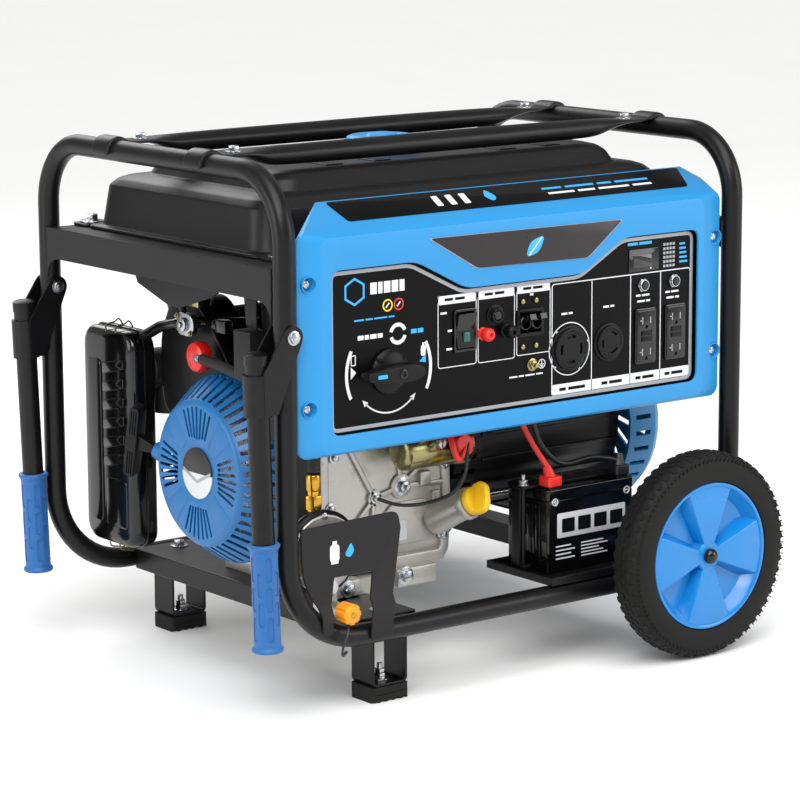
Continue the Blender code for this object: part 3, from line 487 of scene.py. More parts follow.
def blue_rim():
    # Wheel centres come from a polished mould, so they are glossier and more saturated.
    return surface("polished_mould_blue_rim", setting("rim_colour"), 0.26, 1.5, 0.006, mottle=0.03, patch=80,
                   shader={"Coat Weight": 0.25, "Coat Roughness": 0.15})


def blue_grip():
    # Dipped vinyl sleeves: matt, slightly rubbery blue.
    return surface("vinyl_blue_grip", setting("grip_colour"), 0.5, 0.8, 0.02, mottle=0.05, patch=30,
                   shader={"Sheen Weight": 0.15})


def black_moulding():
    # Injection-moulded ABS with a light spark texture.
    return surface("moulded_black_abs", "#0B0B0C", 0.42, 0.7, 0.015, mottle=0.10, patch=40,
                   shader={"Specular IOR Level": 0.22})


def gloss_moulding():
    # Polished-mould black nylon, as on an air filter case; it mirrors the lights in long streaks.
    return surface("gloss_black_nylon", "#0B0B0C", 0.13, 6.0, 0.02, mottle=0.10, patch=60, rough_swing=0.04,
                   shader={"Specular IOR Level": 0.3, "Coat Weight": 0.35, "Coat Roughness": 0.06})


def tank_paint():
    # Baked enamel on pressed steel, glossy enough to show soft streaks.
    return surface("baked_black_enamel", "#161516", 0.40, 8.0, 0.03, mottle=0.12, patch=90, rough_swing=0.06,
                   shader={"Specular IOR Level": 0.28})


def panel_film():
    # A printed polyester film over the panel: deep black with an even satin face.
    return surface("black_overlay_film", "#060607", 0.36, 0.5, 0.006, mottle=0.06, patch=80,
                   shader={"Specular IOR Level": 0.1})


def badge_film():
    # Smoked polyester label with a domed, glossy face over dark print.
    return surface("smoked_badge_film", "#2B2728", 0.3, 0.6, 0.004, mottle=0.15, patch=60,
                   shader={"Specular IOR Level": 0.3})


def white_ink():
    # Screen-printed ink: an opaque film with a faint ragged relief.
    return surface("white_screen_ink", "#D9DADD", 0.5, 0.4, 0.004, mottle=0.05, patch=10)


def silver_ink():
    # Metallic screen ink, whose flakes lie unevenly and dull it.
    return surface("silver_screen_ink", "#9FA0A4", 0.42, 0.4, 0.005, metallic=0.35, mottle=0.08, patch=15)


def blue_ink():
    # Screen-printed spot colour, opaque and slightly glossy.
    return surface("blue_screen_ink", "#2CA3E8", 0.45, 0.4, 0.004, mottle=0.05, patch=10)


def tyre_rubber():
    # Blown rubber with a dull skin and mould bloom in patches.
    return surface("solid_tyre_rubber", "#131211", 0.68, 0.8, 0.05, mottle=0.15, patch=25,
                   dirt="#201E1D", dirt_amount=0.5, shader={"Specular IOR Level": 0.25})


def foot_rubber():
    # Compression-moulded rubber, dull from the mould and scuffed in patches.
    return surface("moulded_rubber_foot", "#131211", 0.66, 0.9, 0.05, mottle=0.12, patch=18,
                   shader={"Specular IOR Level": 0.25})


def zinc():
    # Bright zinc plate over rolled steel: pale, faintly blue, with a fine grain.
    return surface("bright_zinc_plate", "#B9BCC0", 0.26, 0.7, 0.01, metallic=1.0, mottle=0.12, patch=8,
                   rough_swing=0.1)


def passivated_zinc():
    # Yellow chromate over zinc, which shifts from straw to grey.
    return surface("yellow_passivated_zinc", "#9C9468", 0.25, 0.9, 0.01, metallic=1.0, mottle=0.35, patch=14,
                   rough_swing=0.12)


def casting():
    # Die-cast aluminium, blasted: a fine pebbled skin with duller patches.
    return surface("die_cast_aluminium", "#BDBAB5", 0.42, 0.9, 0.05, metallic=0.8, mottle=0.16, patch=22,
                   rough_swing=0.1, dirt="#5E5A55", dirt_amount=0.5)


def black_casting():
    # The same casting sprayed with heat-proof black.
    return surface("black_sprayed_casting", "#1B1A1A", 0.5, 0.9, 0.05, mottle=0.2, patch=22)


def brass_turning():
    # Free-cutting brass, turned: bright, with faint tool marks.
    return surface("turned_brass", "#C99A3A", 0.24, 0.6, 0.008, metallic=1.0, mottle=0.1, patch=12)


def red_sheath():
    # Extruded PVC, smooth along its length with faint die lines.
    return surface("red_pvc_sheath", "#D8281E", 0.38, 0.8, 0.01, mottle=0.06, patch=15)


def black_sheath():
    # The same extruded PVC in black.
    return surface("black_pvc_sheath", "#151516", 0.4, 0.8, 0.012, mottle=0.08, patch=15)


def braided_hose():
    # Knitted cover over rubber hose: crossed threads about a millimetre apart.
    return surface("knitted_hose_cover", "#1B1A1A", 0.7, 1.0, 0.25, mottle=0.2, patch=6)


def yellow_nylon():
    # Injection-moulded nylon with a light spark texture.
    return surface("moulded_yellow_nylon", "#E8B91A", 0.36, 0.9, 0.012, mottle=0.06, patch=20)


def orange_nylon():
    # The same moulded nylon from an orange batch.
    return surface("moulded_orange_nylon", "#EE9412", 0.36, 0.9, 0.012, mottle=0.06, patch=16)


def red_cap():
    # Moulded from a polished tool, so it is glossy and even.
    return surface("moulded_red_primer_cap", "#D5201B", 0.25, 1.2, 0.01, mottle=0.06, patch=20)


def label_paper():
    # Coated label stock.
    return surface("coated_label_stock", "#C9CBCE", 0.4, 0.5, 0.004, mottle=0.04, patch=12)


def smoked_window():
    # Dark acrylic over a small display.
    return surface("smoked_acrylic", "#0B0C0D", 0.08, 3.0, 0.002, mottle=0.05, patch=20, rough_swing=0.03,
                   shader={"Coat Weight": 0.5, "Coat Roughness": 0.03})


def yellow_lens():
    # Polished acrylic ring, dyed yellow.
    return surface("yellow_lens", "#E0C81C", 0.2, 1.0, 0.004, mottle=0.05, patch=5)


def red_lens():
    # Polished acrylic ring, dyed red.
    return surface("red_lens", "#D2251E", 0.2, 1.0, 0.004, mottle=0.05, patch=5)


def green_lens():
    # Dark green acrylic over an unlit lamp.
    return surface("green_lens", "#14564A", 0.2, 1.0, 0.004, mottle=0.05, patch=5)


def spring_wire():
    # Drawn spring steel, oiled, with a straw tint left by tempering.
    return surface("oiled_spring_wire", "#8A7238", 0.3, 0.5, 0.006, metallic=1.0, mottle=0.2, patch=8)


def hot_steel():
    # Aluminised silencer steel, dulled by heat.
    return surface("aluminised_silencer_steel", "#4A4744", 0.5, 1.4, 0.04, metallic=0.8, mottle=0.2, patch=30)


def studio_floor():
    # Matt emulsion rolled flat, almost without texture.
    return surface("painted_studio_floor", "#F4F4F3", 0.75, 6.0, 0.01, mottle=0.01, patch=400)


SLOTS = {
    "black_steel": (powder_coat, sheet_coat, tank_paint, hot_steel),
    "blue_plastic": (blue_cover, blue_starter, blue_rim, blue_grip, blue_ink),
    "black_plastic": (black_moulding, panel_film, badge_film, green_lens),
    "gloss_black": (gloss_moulding, smoked_window),
    "tyre": (tyre_rubber,),
    "rubber": (foot_rubber, black_sheath, braided_hose),
    "zinc_steel": (zinc, passivated_zinc, spring_wire, brass_turning, white_ink, silver_ink, label_paper),
    "cast_aluminium": (casting, black_casting),
    "red_rubber": (red_sheath, red_cap, red_lens),
    "yellow_plastic": (yellow_nylon, yellow_lens),
    "orange_plastic": (orange_nylon,),
}
FINISHES = {make.__name__: make for makes in SLOTS.values() for make in makes}


# ---------------------------------------------------------------- frame

def make_frame():
    for side, post, seam in (("left", 0.0, SEAM_X - 0.15), ("right", LENGTH, SEAM_X + 0.15)):
        corners = [(seam, 0, 0), (post, 0, 0), (post, 0, TOP_Z), (post, WIDTH, TOP_Z), (post, WIDTH, 0),
                   (seam, WIDTH, 0)]
        path = filleted(corners, (100, 75, 75, 100), 14)
        piece("frame_tube_" + side, tube(path, TUBE_R, 7), "powder_coat", stands_for=("frame_hoop_" + side,))
        out = -1 if side == "left" else 1
        for where in ("front", "rear"):
            y = 24.0 if where == "front" else WIDTH - 24.0
            beads = [(post + out * 9.5, y - 13, z) for z in range(392, 424, 4)]
            piece(f"rail_weld_{side}_{where}", tube(flowing(beads, 3), 1.6, 2), "powder_coat")
    for which in ("front", "rear"):
        refined("top_bar_" + which, "powder_coat", ease=0, levels=2)
        y = 151.0 if which == "front" else 341.0
        for x in (41.0, LENGTH - 41.0):
            place = "left" if x < 300 else "right"
            piece(f"bar_bolt_{which}_{place}", bolt((x, y, 538.0), UP, 6.5, 1.5), "zinc")
    for side in ("left", "right"):
        refined("tank_rail_" + side, "sheet_coat", ease=1.0, segments=3)
    for node in ("cross_member_left", "cross_member_axle", "battery_tray"):
        refined(node, "powder_coat", ease=1.2, segments=3)
    for y, where in ((110.0, "front"), (314.0, "rear")):
        piece("engine_mount_bolt_" + where, bolt((146, y, 32.2), UP, 7.0, 1.5), "zinc")


def make_feet():
    for which in ("front", "rear"):
        y = 16.0 if which == "front" else WIDTH - 57.0
        refined("foot_bracket_" + which, "powder_coat", ease=0.8)
        node = "rubber_foot_" + which
        grooves = [block((125, y - 4, -81.8), (185, y - 0.2, -80.6))]
        for i in range(5):
            x = 133 + 10.5 * i
            grooves.append(rod((x, y - 6, -92.2), (x, y + 50, -92.2), 4.2, 16))
        refined(node, "foot_rubber", ease=1.0, segments=3, cutters=grooves)
        middle = (155.0, y + 20.5, -68.9)
        piece("foot_bolt_" + which, join(bolt(middle, UP, 7.0, 1.6),
                                         rod((155, y + 20.5, -62), (155, y + 20.5, -50), 3.6, 16),
                                         hexagon((155, y + 20.5, -61.5), UP, 6.4, 5.0)), "zinc")
        piece("foot_top_bolt_" + which, bolt((155.0, y + 20.5, 12.8), UP, 7.0, 1.6), "zinc")


# ---------------------------------------------------------------- wheels

def make_wheels():
    count = setting("tread_blocks")
    height = setting("tread_height") / MM
    for which in ("front", "rear"):
        out = -1 if which == "front" else 1
        outer = (0.0 if which == "front" else WIDTH) + out * WHEEL_OUT
        hub, inward = Vector((WHEEL_X, outer, WHEEL_Z)), Vector((0, -out, 0))
        body = which + " wheel"
        crown = WHEEL_R - 1.8
        tyre = [(4, RIM_R), (1.5, RIM_R + 1.5), (0.4, RIM_R + 6), (0, RIM_R + 14), (0.6, crown - 16),
                (2.5, crown - 9), (6, crown - 3.5), (10, crown - 0.8), (14, crown), (32, crown),
                (36, crown - 0.8), (40, crown - 3.5), (43.5, crown - 9), (45.4, crown - 16),
                (46, RIM_R + 14), (45.6, RIM_R + 6), (44.5, RIM_R + 1.5), (42, RIM_R)]
        shapes = [spun(tyre, hub, inward, 144)]
        for i in range(count):
            turn = 2 * math.pi * i / count
            for across, skew, wide, tall, lean in ((9.5, 0.0, 9.0, 8.6, -0.32), (19.5, 0.5, 7.0, 9.6, 0.0),
                                                   (26.5, 0.0, 7.0, 9.6, 0.0), (36.5, 0.5, 9.0, 8.6, 0.32)):
                lug = softened(bar(-wide / 2, -tall / 2, wide, tall), 2.0, 1)
                shape = slab(lug, "Z", -2.5, height, taper=0.12)
                angle = turn + skew * 2 * math.pi / count
                place = (Matrix.Translation(hub) @ Matrix.Rotation(angle, 4, 'Y')
                         @ Matrix.Translation((0, across * inward.y, crown - (1.6 if lean else 0.0)))
                         @ Matrix.Rotation(lean * inward.y * -1, 4, 'X') @ Matrix.Rotation(math.pi / 2, 4, 'Z'))
                shapes.append(moved(shape, place))
        for i in range(108):
            angle = 2 * math.pi * i / 108
            rib = slab(bar(-0.5, -5.0, 1.0, 10.0), "Z", -1.0, 0.5)
            place = (Matrix.Translation(hub) @ Matrix.Rotation(angle, 4, 'Y')
                     @ Matrix.Translation((0, 2.6 * inward.y, crown - 9))
                     @ Matrix.Rotation(inward.y * -1.15, 4, 'X'))
            shapes.append(moved(rib, place))
        piece("tyre_tread_" + which, join(*shapes), "tyre_rubber", body, stands_for=("tyre_" + which,))

        dish = [(4.5, 8.6), (4.5, 16.0), (6, 18), (19, 20), (20, 24), (20, 66), (18, 74), (7, 83.5),
                (3.2, 85), (2.4, 86.5), (2.6, 88.6), (4, RIM_R - 0.2), (42, RIM_R - 0.2), (42, 85), (25, 80),
                (24, 22), (44.5, 18), (44.5, 8.6)]
        shapes = [spun(dish, hub, inward, 120)]
        for i in range(4):
            centre = 90.0 * i
            half_out, half_in = 23.0, 30.0
            top = (arc((0, 0), 85.5, centre - half_out, centre + half_out, 14)
                   + arc((0, 0), 15.0, centre + half_in, centre - half_in, 6))
            foot = (arc((0, 0), 86.5, centre - half_out - 7, centre + half_out + 7, 14)
                    + arc((0, 0), 15.0, centre + half_in + 14, centre - half_in - 14, 6))
            wedge = lofted([[(x, y, 21.0) for x, y in foot], [(x, y, 4.2) for x, y in top]])
            shapes.append(moved(eased(wedge, 1.1, 3, 30.0), to_axis(hub, inward)))
        piece("rim_centre_" + which, join(*shapes), "blue_rim", body, stands_for=("wheel_rim_" + which,),
              smooth=32)
    cap = [(-5.2, 0.0), (-5.0, 2.5), (-4.2, 5.0), (-2.6, 7.2), (-0.6, 8.7), (1.2, 9.2), (2.4, 9.2),
           (2.7, 8.8), (2.7, 8.0)]
    collar = [(46.4, 8.0), (46.4, 9.2), (52, 9.2), (52, 8.0)]
    total = WIDTH + 2 * WHEEL_OUT
    half = cap + collar
    profile = half + [(total - d, r) for d, r in reversed(half)]
    piece("axle_and_caps", spun(profile, (WHEEL_X, -WHEEL_OUT, WHEEL_Z), REARWARD, 48), "gloss_moulding",
          stands_for=("wheel_axle",))


# ---------------------------------------------------------------- handles

def make_handles():
    for which in ("front", "rear"):
        y = 0.0 if which == "front" else WIDTH
        body = which + " handle"
        top, bottom = Vector((-38.7, y, 338.0)), Vector((-27.6, y, 2.0))
        down = (bottom - top).normalized()
        refined("handle_" + which, "powder_coat", body, ease=1.0, segments=3, sharp=40)
        length = (bottom - top).length
        core = [(0, 0), (0, TUBE_R - 0.2), (length - 6, TUBE_R - 0.2), (length - 6, 0)]
        piece("handle_tube_" + which, spun(core, top + down * 2, down, 48), "powder_coat", body)
        up = -down
        sleeve = [(0, 0), (0, 14), (0.8, 17.2), (2, 18), (4, 18), (5.2, 17.2), (7, 15.6), (9, 15.4),
                  (114, 15.4), (116, 15.6), (118, 17.2), (119.4, 18), (121.4, 18), (122.6, 17.2), (123, 14.5),
                  (123, 13.0)]
        grip = spun(sleeve + [(3, 13.0), (3, 0)], bottom, up, 64, closed=False)
        pads = []
        for i in range(10):
            for k in range(3):
                start = 14 + k * 34 + (17 if i % 2 else 0)
                high = start + 28
                if high > 112:
                    continue
                pad = moved(slab(rounded((start, -3.6), (high, 3.6), 3.4, 4), "Z", 14.1, 18.5),
                            Matrix.Rotation(-math.pi / 2, 4, 'Y'))
                pad = moved(pad, Matrix.Rotation(math.radians(36 * i), 4, 'Z'))
                pads.append(moved(pad, to_axis(bottom, up)))
        grip = carved(grip, *pads)
        piece("grip_sleeve_" + which, grip, "blue_grip", body, stands_for=("grip_" + which,), smooth=30)
        shapes = [rod((0, y - 17, PIVOT_Z), (0, y + 17, PIVOT_Z), 4.8, 24)]
        for side in (-1, 1):
            seat = (0, y + side * 16.3, PIVOT_Z)
            shapes.append(disc(seat, (0, side, 0), 8.2, 1.4, 0.4, 32))
            shapes.append(hexagon((0, y + side * 17.7, PIVOT_Z), (0, side, 0), 6.6, 3.4, 0.7))
            shapes.append(disc((0, y + side * 21.0, PIVOT_Z), (0, side, 0), 3.8, 1.4, 0.5, 24))
        piece("pivot_fasteners_" + which, join(*shapes), "zinc", stands_for=("pivot_bolt_" + which,))


# ---------------------------------------------------------------- tank

def make_tank():
    rings = [(425.4, 22, 646, 74, 438, 20), (429.3, 22, 646, 74, 438, 20), (430.5, 30, 640, 82, 430, 30),
             (478, 36, 636, 88, 424, 30), (486, 44, 628, 96, 416, 30), (489, 52, 620, 104, 408, 30),
             (491, 76, 598, 118, 396, 30), (504, 83, 591, 125, 389, 30), (510, 90, 584, 132, 382, 30),
             (512.8, 100, 574, 142, 372, 30)]
    shape = lofted([[(x, y, z) for x, y in rounded((x0, y0), (x1, y1), r, 8)]
                    for z, x0, x1, y0, y1, r in rings])
    top = max(shape.faces, key=lambda f: f.calc_center_median().z)
    bmesh.ops.inset_region(shape, faces=[top], thickness=14.0, depth=0.0)
    tank = eased(shape, 2.2, 3, 18.0)
    ribs = [block((x, 150, 508.0), (x + 26, 365, 514.2), 2.4, 3) for x in (170.0, 240.0, 430.0, 500.0)]
    piece("tank_shell", join(tank, *ribs), "tank_paint", stands_for=("fuel_tank",), smooth=40)
    flange = frame_line(rounded((21, 73), (647, 439), 21, 8), "Z", 426.4, 428.6, 3.0)
    piece("tank_seam", flange, "tank_paint")
    for x, y in ((42, 452), (42, 64), (LENGTH - 42, 452), (LENGTH - 42, 64)):
        name = ("left" if x < 300 else "right") + ("_rear" if y > 300 else "_front")
        lug = slab(softened(bar(x - 20, y - 16, 40, 32), 9, 4), "Z", 425.6, 428.6, 0.5)
        piece("tank_lug_" + name, lug, "tank_paint")
        piece("tank_bolt_" + name, join(disc((x, y, 428.8), UP, 15, 2.0, 0.6, 36),
                                        bolt((x, y, 430.6), UP, 7.5, 1.35)), "zinc")
    cx, cy = 325.0, 247.0
    cap = [(0, 0), (0, 41), (1, 43.5), (3, 44.5), (12, 44.5), (15.5, 42.5), (17.5, 38), (18, 30), (16.4, 27),
           (16.4, 20), (19.5, 17), (20.8, 10), (21.0, 0)]
    ribs = around(lambda: block((43.2, -3.0, 1.5), (45.9, 3.0, 13.0), 0.9, 2), 24, (cx, cy, 513.4), 'Z')
    piece("filler_cap_cover", join(spun(cap, (cx, cy, 513.4), UP, 96), *ribs), "blue_cover", "filler cap",
          stands_for=("fuel_cap",))
    gx, gy = 455.0, 250.0
    gauge = spun([(0, 0), (0, 20), (3.5, 20), (5, 18), (5, 15), (4, 14.5), (4, 0)], (gx, gy, 513.0), UP, 48)
    piece("fuel_gauge_ring", gauge, "black_moulding")
    piece("fuel_gauge_window", disc((gx, gy, 517.0), UP, 14.2, 0.7, 0.2, 40), "smoked_window")


# ---------------------------------------------------------------- control panel

def window(margin):
    """The opening round the controls, grown by a margin."""
    m = margin
    corners = [(60 - m, 233 - m), (609 + m, 233 - m), (609 + m, 418 + m), (490 - m, 418 + m),
               (425 - m * 0.4, 381 + m), (251 + m * 0.4, 381 + m), (178 + m, 418 + m), (60 - m, 418 + m)]
    return softened(corners, 13.0 + m, 6)


def panel_form(inset, back):
    """The panel's outer form, a convex body whose top slopes back."""
    i = inset
    shape = bmesh.new()
    edge = rounded((18 + i, 210 + i), (651 - i, 461 - i), 13.0, 5)
    front = rounded((44 + i, 214 + i), (618 - i, 455 - i), 14.0, 5)
    points = [(x, y, z) for y in (2.0, back) for x, z in edge] + [(x, i - 6.0, z) for x, z in front]
    for point in points + [(87 + i, 60, 486 - i), (638 - i, 60, 486 - i), (651 - i, 36, 473 - i)]:
        shape.verts.new(point)
    bmesh.ops.convex_hull(shape, input=shape.verts)
    bmesh.ops.dissolve_limit(shape, angle_limit=0.01, verts=shape.verts, edges=shape.edges)
    return shape


SCREWS = ((31.0, 405.5), (31.0, 266.5), (640.0, 405.5), (640.0, 266.5))


def make_bezel():
    outer = eased(panel_form(0.0, 6.0), 3.0, 4, 12.0)
    rails = block((0, 6, 0), (LENGTH, 100, 430))
    recesses = [rod((x, -12, z), (x, 4.5, z), 8.6, 40) for x, z in SCREWS]
    shell = carved(outer, panel_form(3.0, 62.0), slab(window(0), "Y", -30, 30), rails, *recesses)
    rim = [e for e in shell.edges if len(e.link_faces) == 2 and e.calc_face_angle(0.0) > 1.1
           and all(v.co.y < -4.0 and 60 < v.co.x < 645 and 225 < v.co.z < 440 for v in e.verts)]
    bmesh.ops.bevel(shell, geom=rim, offset=2.6, affect='EDGES', segments=4, profile=0.5, material=-1,
                    clamp_overlap=True)
    piece("bezel_moulding", shell, "blue_cover", stands_for=("panel_bezel",), smooth=30)
    for i, (x, z) in enumerate(SCREWS):
        cup = spun([(-3.0, 9.4), (-3.0, 8.4), (3.5, 7.6), (3.5, 0), (5.0, 0), (5.0, 9.4)], (x, 0, z),
                   REARWARD, 40)
        piece(f"screw_recess_{i + 1}", cup, "blue_cover")
        head = spun([(0, 0), (0, 5.6), (-1.4, 5.4), (-2.8, 4.0), (-3.4, 2.0), (-3.5, 0)], (x, 3.4, z),
                    REARWARD, 32)
        slots = [block((x - 3.4, -3, z - 0.6), (x + 3.4, 1.2, z + 0.6)),
                 block((x - 0.6, -3, z - 3.4), (x + 0.6, 1.2, z + 3.4))]
        piece(f"panel_screw_{i + 1}", carved(head, *slots), "zinc")
    badge = [(197.0, 442.5), (485.0, 440.0), (431.5, 400.0), (266.0, 403.0)]
    middle = Vector((345.0, 421.5))
    outside = [tuple(middle + (Vector(p) - middle) * 1.02) for p in badge]
    piece("badge_rim", slab(softened(outside, 5, 4), "Y", -6.9, -5.0, 0.4), "silver_ink")
    piece("badge_plate", slab(softened(badge, 5, 4), "Y", -7.6, -5.5, 0.4), "badge_film")
    leaf = softened([(336, 408), (357, 413), (366, 433), (343, 427)], 9, 5)
    vein = slab([(341, 411), (342.5, 410.5), (361, 430), (360.5, 431)], "Y", -8.1, -7.2)
    piece("badge_leaf", slab(leaf, "Y", -7.9, -7.0, 0.1), "blue_ink")
    piece("badge_leaf_vein", vein, "white_ink")
    rise = math.atan2(25.0, 58.0)
    strip = softened([(101.0, 16.0), (612.0, 16.0), (630.0, 60.0), (98.0, 60.0)], 5, 4)
    place = Matrix.Translation((0, 2, 461)) @ Matrix.Rotation(rise, 4, 'X')
    piece("top_strip", moved(slab(strip, "Z", -0.9, 0.7, 0.2), place), "panel_film")
    marks = [slab(softened(bar(x, 28, 9, 22, 4), 2, 3), "Z", 0.6, 0.9) for x in (236, 256, 276)]
    piece("top_strip_bars", moved(join(*marks), place), "white_ink")
    drop = softened([(318, 26), (328, 36), (321, 54), (311, 38)], 6, 5)
    lines = [slab(bar(x, 40, w, 4, 1), "Z", 0.6, 0.9) for x, w in ((400, 30), (436, 44), (486, 22), (514, 52))]
    piece("top_strip_drop", moved(join(slab(drop, "Z", 0.6, 0.9), *lines), place), "blue_ink")
    more = [slab(bar(x, 29, w, 4, 1), "Z", 0.6, 0.9) for x, w in ((402, 40), (448, 26), (480, 48), (534, 30))]
    piece("top_strip_lines", moved(join(*more), place), "white_ink")


INK = ("Y", FACE_Y - 0.35, FACE_Y + 0.3)       # how far print stands out of the face
OVERPRINT = ("Y", FACE_Y - 0.6, FACE_Y)


def ink(outline):
    """A printed shape on the panel's face."""
    return slab(outline, *INK)


def ink_line(outline, width):
    """A printed line round an outline."""
    return frame_line(outline, *INK, width)


def dashes(x, z, widths, height=2.4, gap=2.2):
    """A row of short printed dashes, standing in for a caption."""
    row = []
    for width in widths:
        row.append(ink(bar(x, z, width, height)))
        x += width + gap
    return row


def printed_box(name, low, high):
    """A printed box with a pale heading bar."""
    top = high[1]
    heading = ink(rounded((low[0], top - 11.0), (high[0], top), 3.0, 4))
    piece(name + "_lines", join(ink_line(rounded(low, high, 3.5, 4), 0.9), heading), "white_ink")
    words = [slab(bar(low[0] + x, top - 7.2, w, 3.0), *OVERPRINT) for x, w in ((10, 12.0), (25, 14.0))]
    piece(name + "_caption", join(*words), "panel_film")


def make_face():
    refined("panel_face", "panel_film", ease=0)
    border = frame_line(window(-2.4), "Y", FACE_Y - 0.7, FACE_Y + 0.5, 4.2)
    piece("panel_border", border, "silver_ink")
    printed_box("switch_box", (214.5, 291), (271, 375))
    printed_box("dc_box", (273, 291), (328, 375.5))
    printed_box("main_box", (330.5, 293), (382, 376.5))
    bars = [ink(bar(x, 240, 1.1, 131)) for x in (445.5, 506.5, 554.5)]
    foot = ink(rounded((385, 239.5), (602.5, 252.5), 2.5, 4))
    outline = ink_line(rounded((384, 239), (603.5, 372), 4.0, 4), 1.2)
    piece("outlet_box_lines", join(outline, foot, *bars), "white_ink")
    captions = [slab(bar(x, 244.2, w, 3.6), *OVERPRINT)
                for x, w in ((396, 10), (410, 26), (462, 9), (474, 20), (516, 8), (527, 18), (563, 8), (574, 18))]
    piece("outlet_captions", join(*captions), "panel_film")
    x, z = SELECTOR
    marks = [ink(ring_sector((x, z), 57.5, 61.5, 152, 206)), ink(ring_sector((x, z), 57.5, 61.5, -26, 28)),
             ink(ring_sector((x, z), 46.5, 48.3, 226, 314))]
    for angle, way in ((224, -1), (316, 1)):
        a = math.radians(angle)
        tip = Vector((x + 47.4 * math.cos(a), z + 47.4 * math.sin(a)))
        along = Vector((-math.sin(a), math.cos(a))) * way
        side = Vector((along.y, -along.x))
        marks.append(ink([tuple(tip + along * 5), tuple(tip - along * 3 + side * 3.4),
                          tuple(tip - along * 3 - side * 3.4)]))
    marks += [ink([(91, 307), (98.5, 300), (91, 293)]), ink_line(softened(bar(91, 308, 7, 12), 1.2, 2), 1.2),
              ink(softened(bar(190, 309, 7, 12), 2.4, 3)), ink(bar(192, 321, 3, 3)),
              ink(ring_sector((x + 13, 338), 8.0, 12.5, 20, 165, 12)),
              ink(ring_sector((x + 13, 338), 8.0, 12.5, 200, 345, 12))]
    marks += dashes(101, 336, (8, 6, 9, 7), 5.0, 1.6) + dashes(119, 386, (9, 6, 9, 9, 7), 13.0, 2.0)
    for left, low, widths in ((218.5, 353, (9,)), (229, 332, (6,)), (227, 311, (8,)), (351, 362, (5,)),
                              (399, 334, (9, 6)), (464, 336, (9, 6)), (516, 344, (7, 12)), (563, 344, (7, 12)),
                              (518, 337, (12, 6)), (565, 337, (12, 6))):
        marks += dashes(left, low, widths)
    marks += dashes(320, 268, (12, 8, 14, 10), 1.8)
    piece("face_marks", join(*marks), "white_ink")
    blue = [ink_line(polygon((97, 391), 16, 6, 30), 2.4), ink([(188, 303), (197, 311), (197, 301)])]
    blue += dashes(176, 336, (8, 8), 5.0, 1.6) + dashes(96, 357.5, (14, 10, 18, 8), 1.8)
    blue += dashes(502, 406, (16, 20), 3.4) + [ink(bar(585, 379 + 5.4 * i, 13 - i, 2.4)) for i in range(5)]
    piece("face_marks_blue", join(*blue), "blue_ink")
    for lx, finish in ((143.0, "yellow_lens"), (158.7, "red_lens")):
        ring = spun([(0.2, 7.0), (-0.5, 7.0), (-0.5, 5.4), (0.2, 5.4)], (lx, FACE_Y, 371.5), REARWARD, 40)
        name = finish.split("_")[0]
        piece("status_ring_" + name, ring, finish)
        tick = [(lx - 3, 369.5), (lx - 1.6, 368.6), (lx + 3, 373.6), (lx + 1.8, 374.6)]
        piece("status_tick_" + name, slab(tick, "Y", FACE_Y - 0.4, FACE_Y + 0.2), "white_ink")
    surround = slab(rounded((503, 374), (551, 401), 2, 4), "Y", FACE_Y - 1.2, FACE_Y + 0.3, 0.4)
    piece("status_window_frame", surround, "gloss_moulding")
    pane = slab(rounded((510, 379), (540, 394), 1.5, 3), "Y", FACE_Y - 1.6, FACE_Y - 0.8, 0.2)
    piece("status_window", pane, "smoked_window")
    piece("status_dot", disc((538.0, FACE_Y - 1.1, 377.0), FORWARD, 1.1, 0.5, 0.1, 16), "white_ink")
    grid = [ink(bar(559 + 5.0 * k, 375.5 + 5.2 * i, 3.4, 3.1)) for i in range(6) for k in range(4)]
    piece("status_grid", join(*grid), "silver_ink")


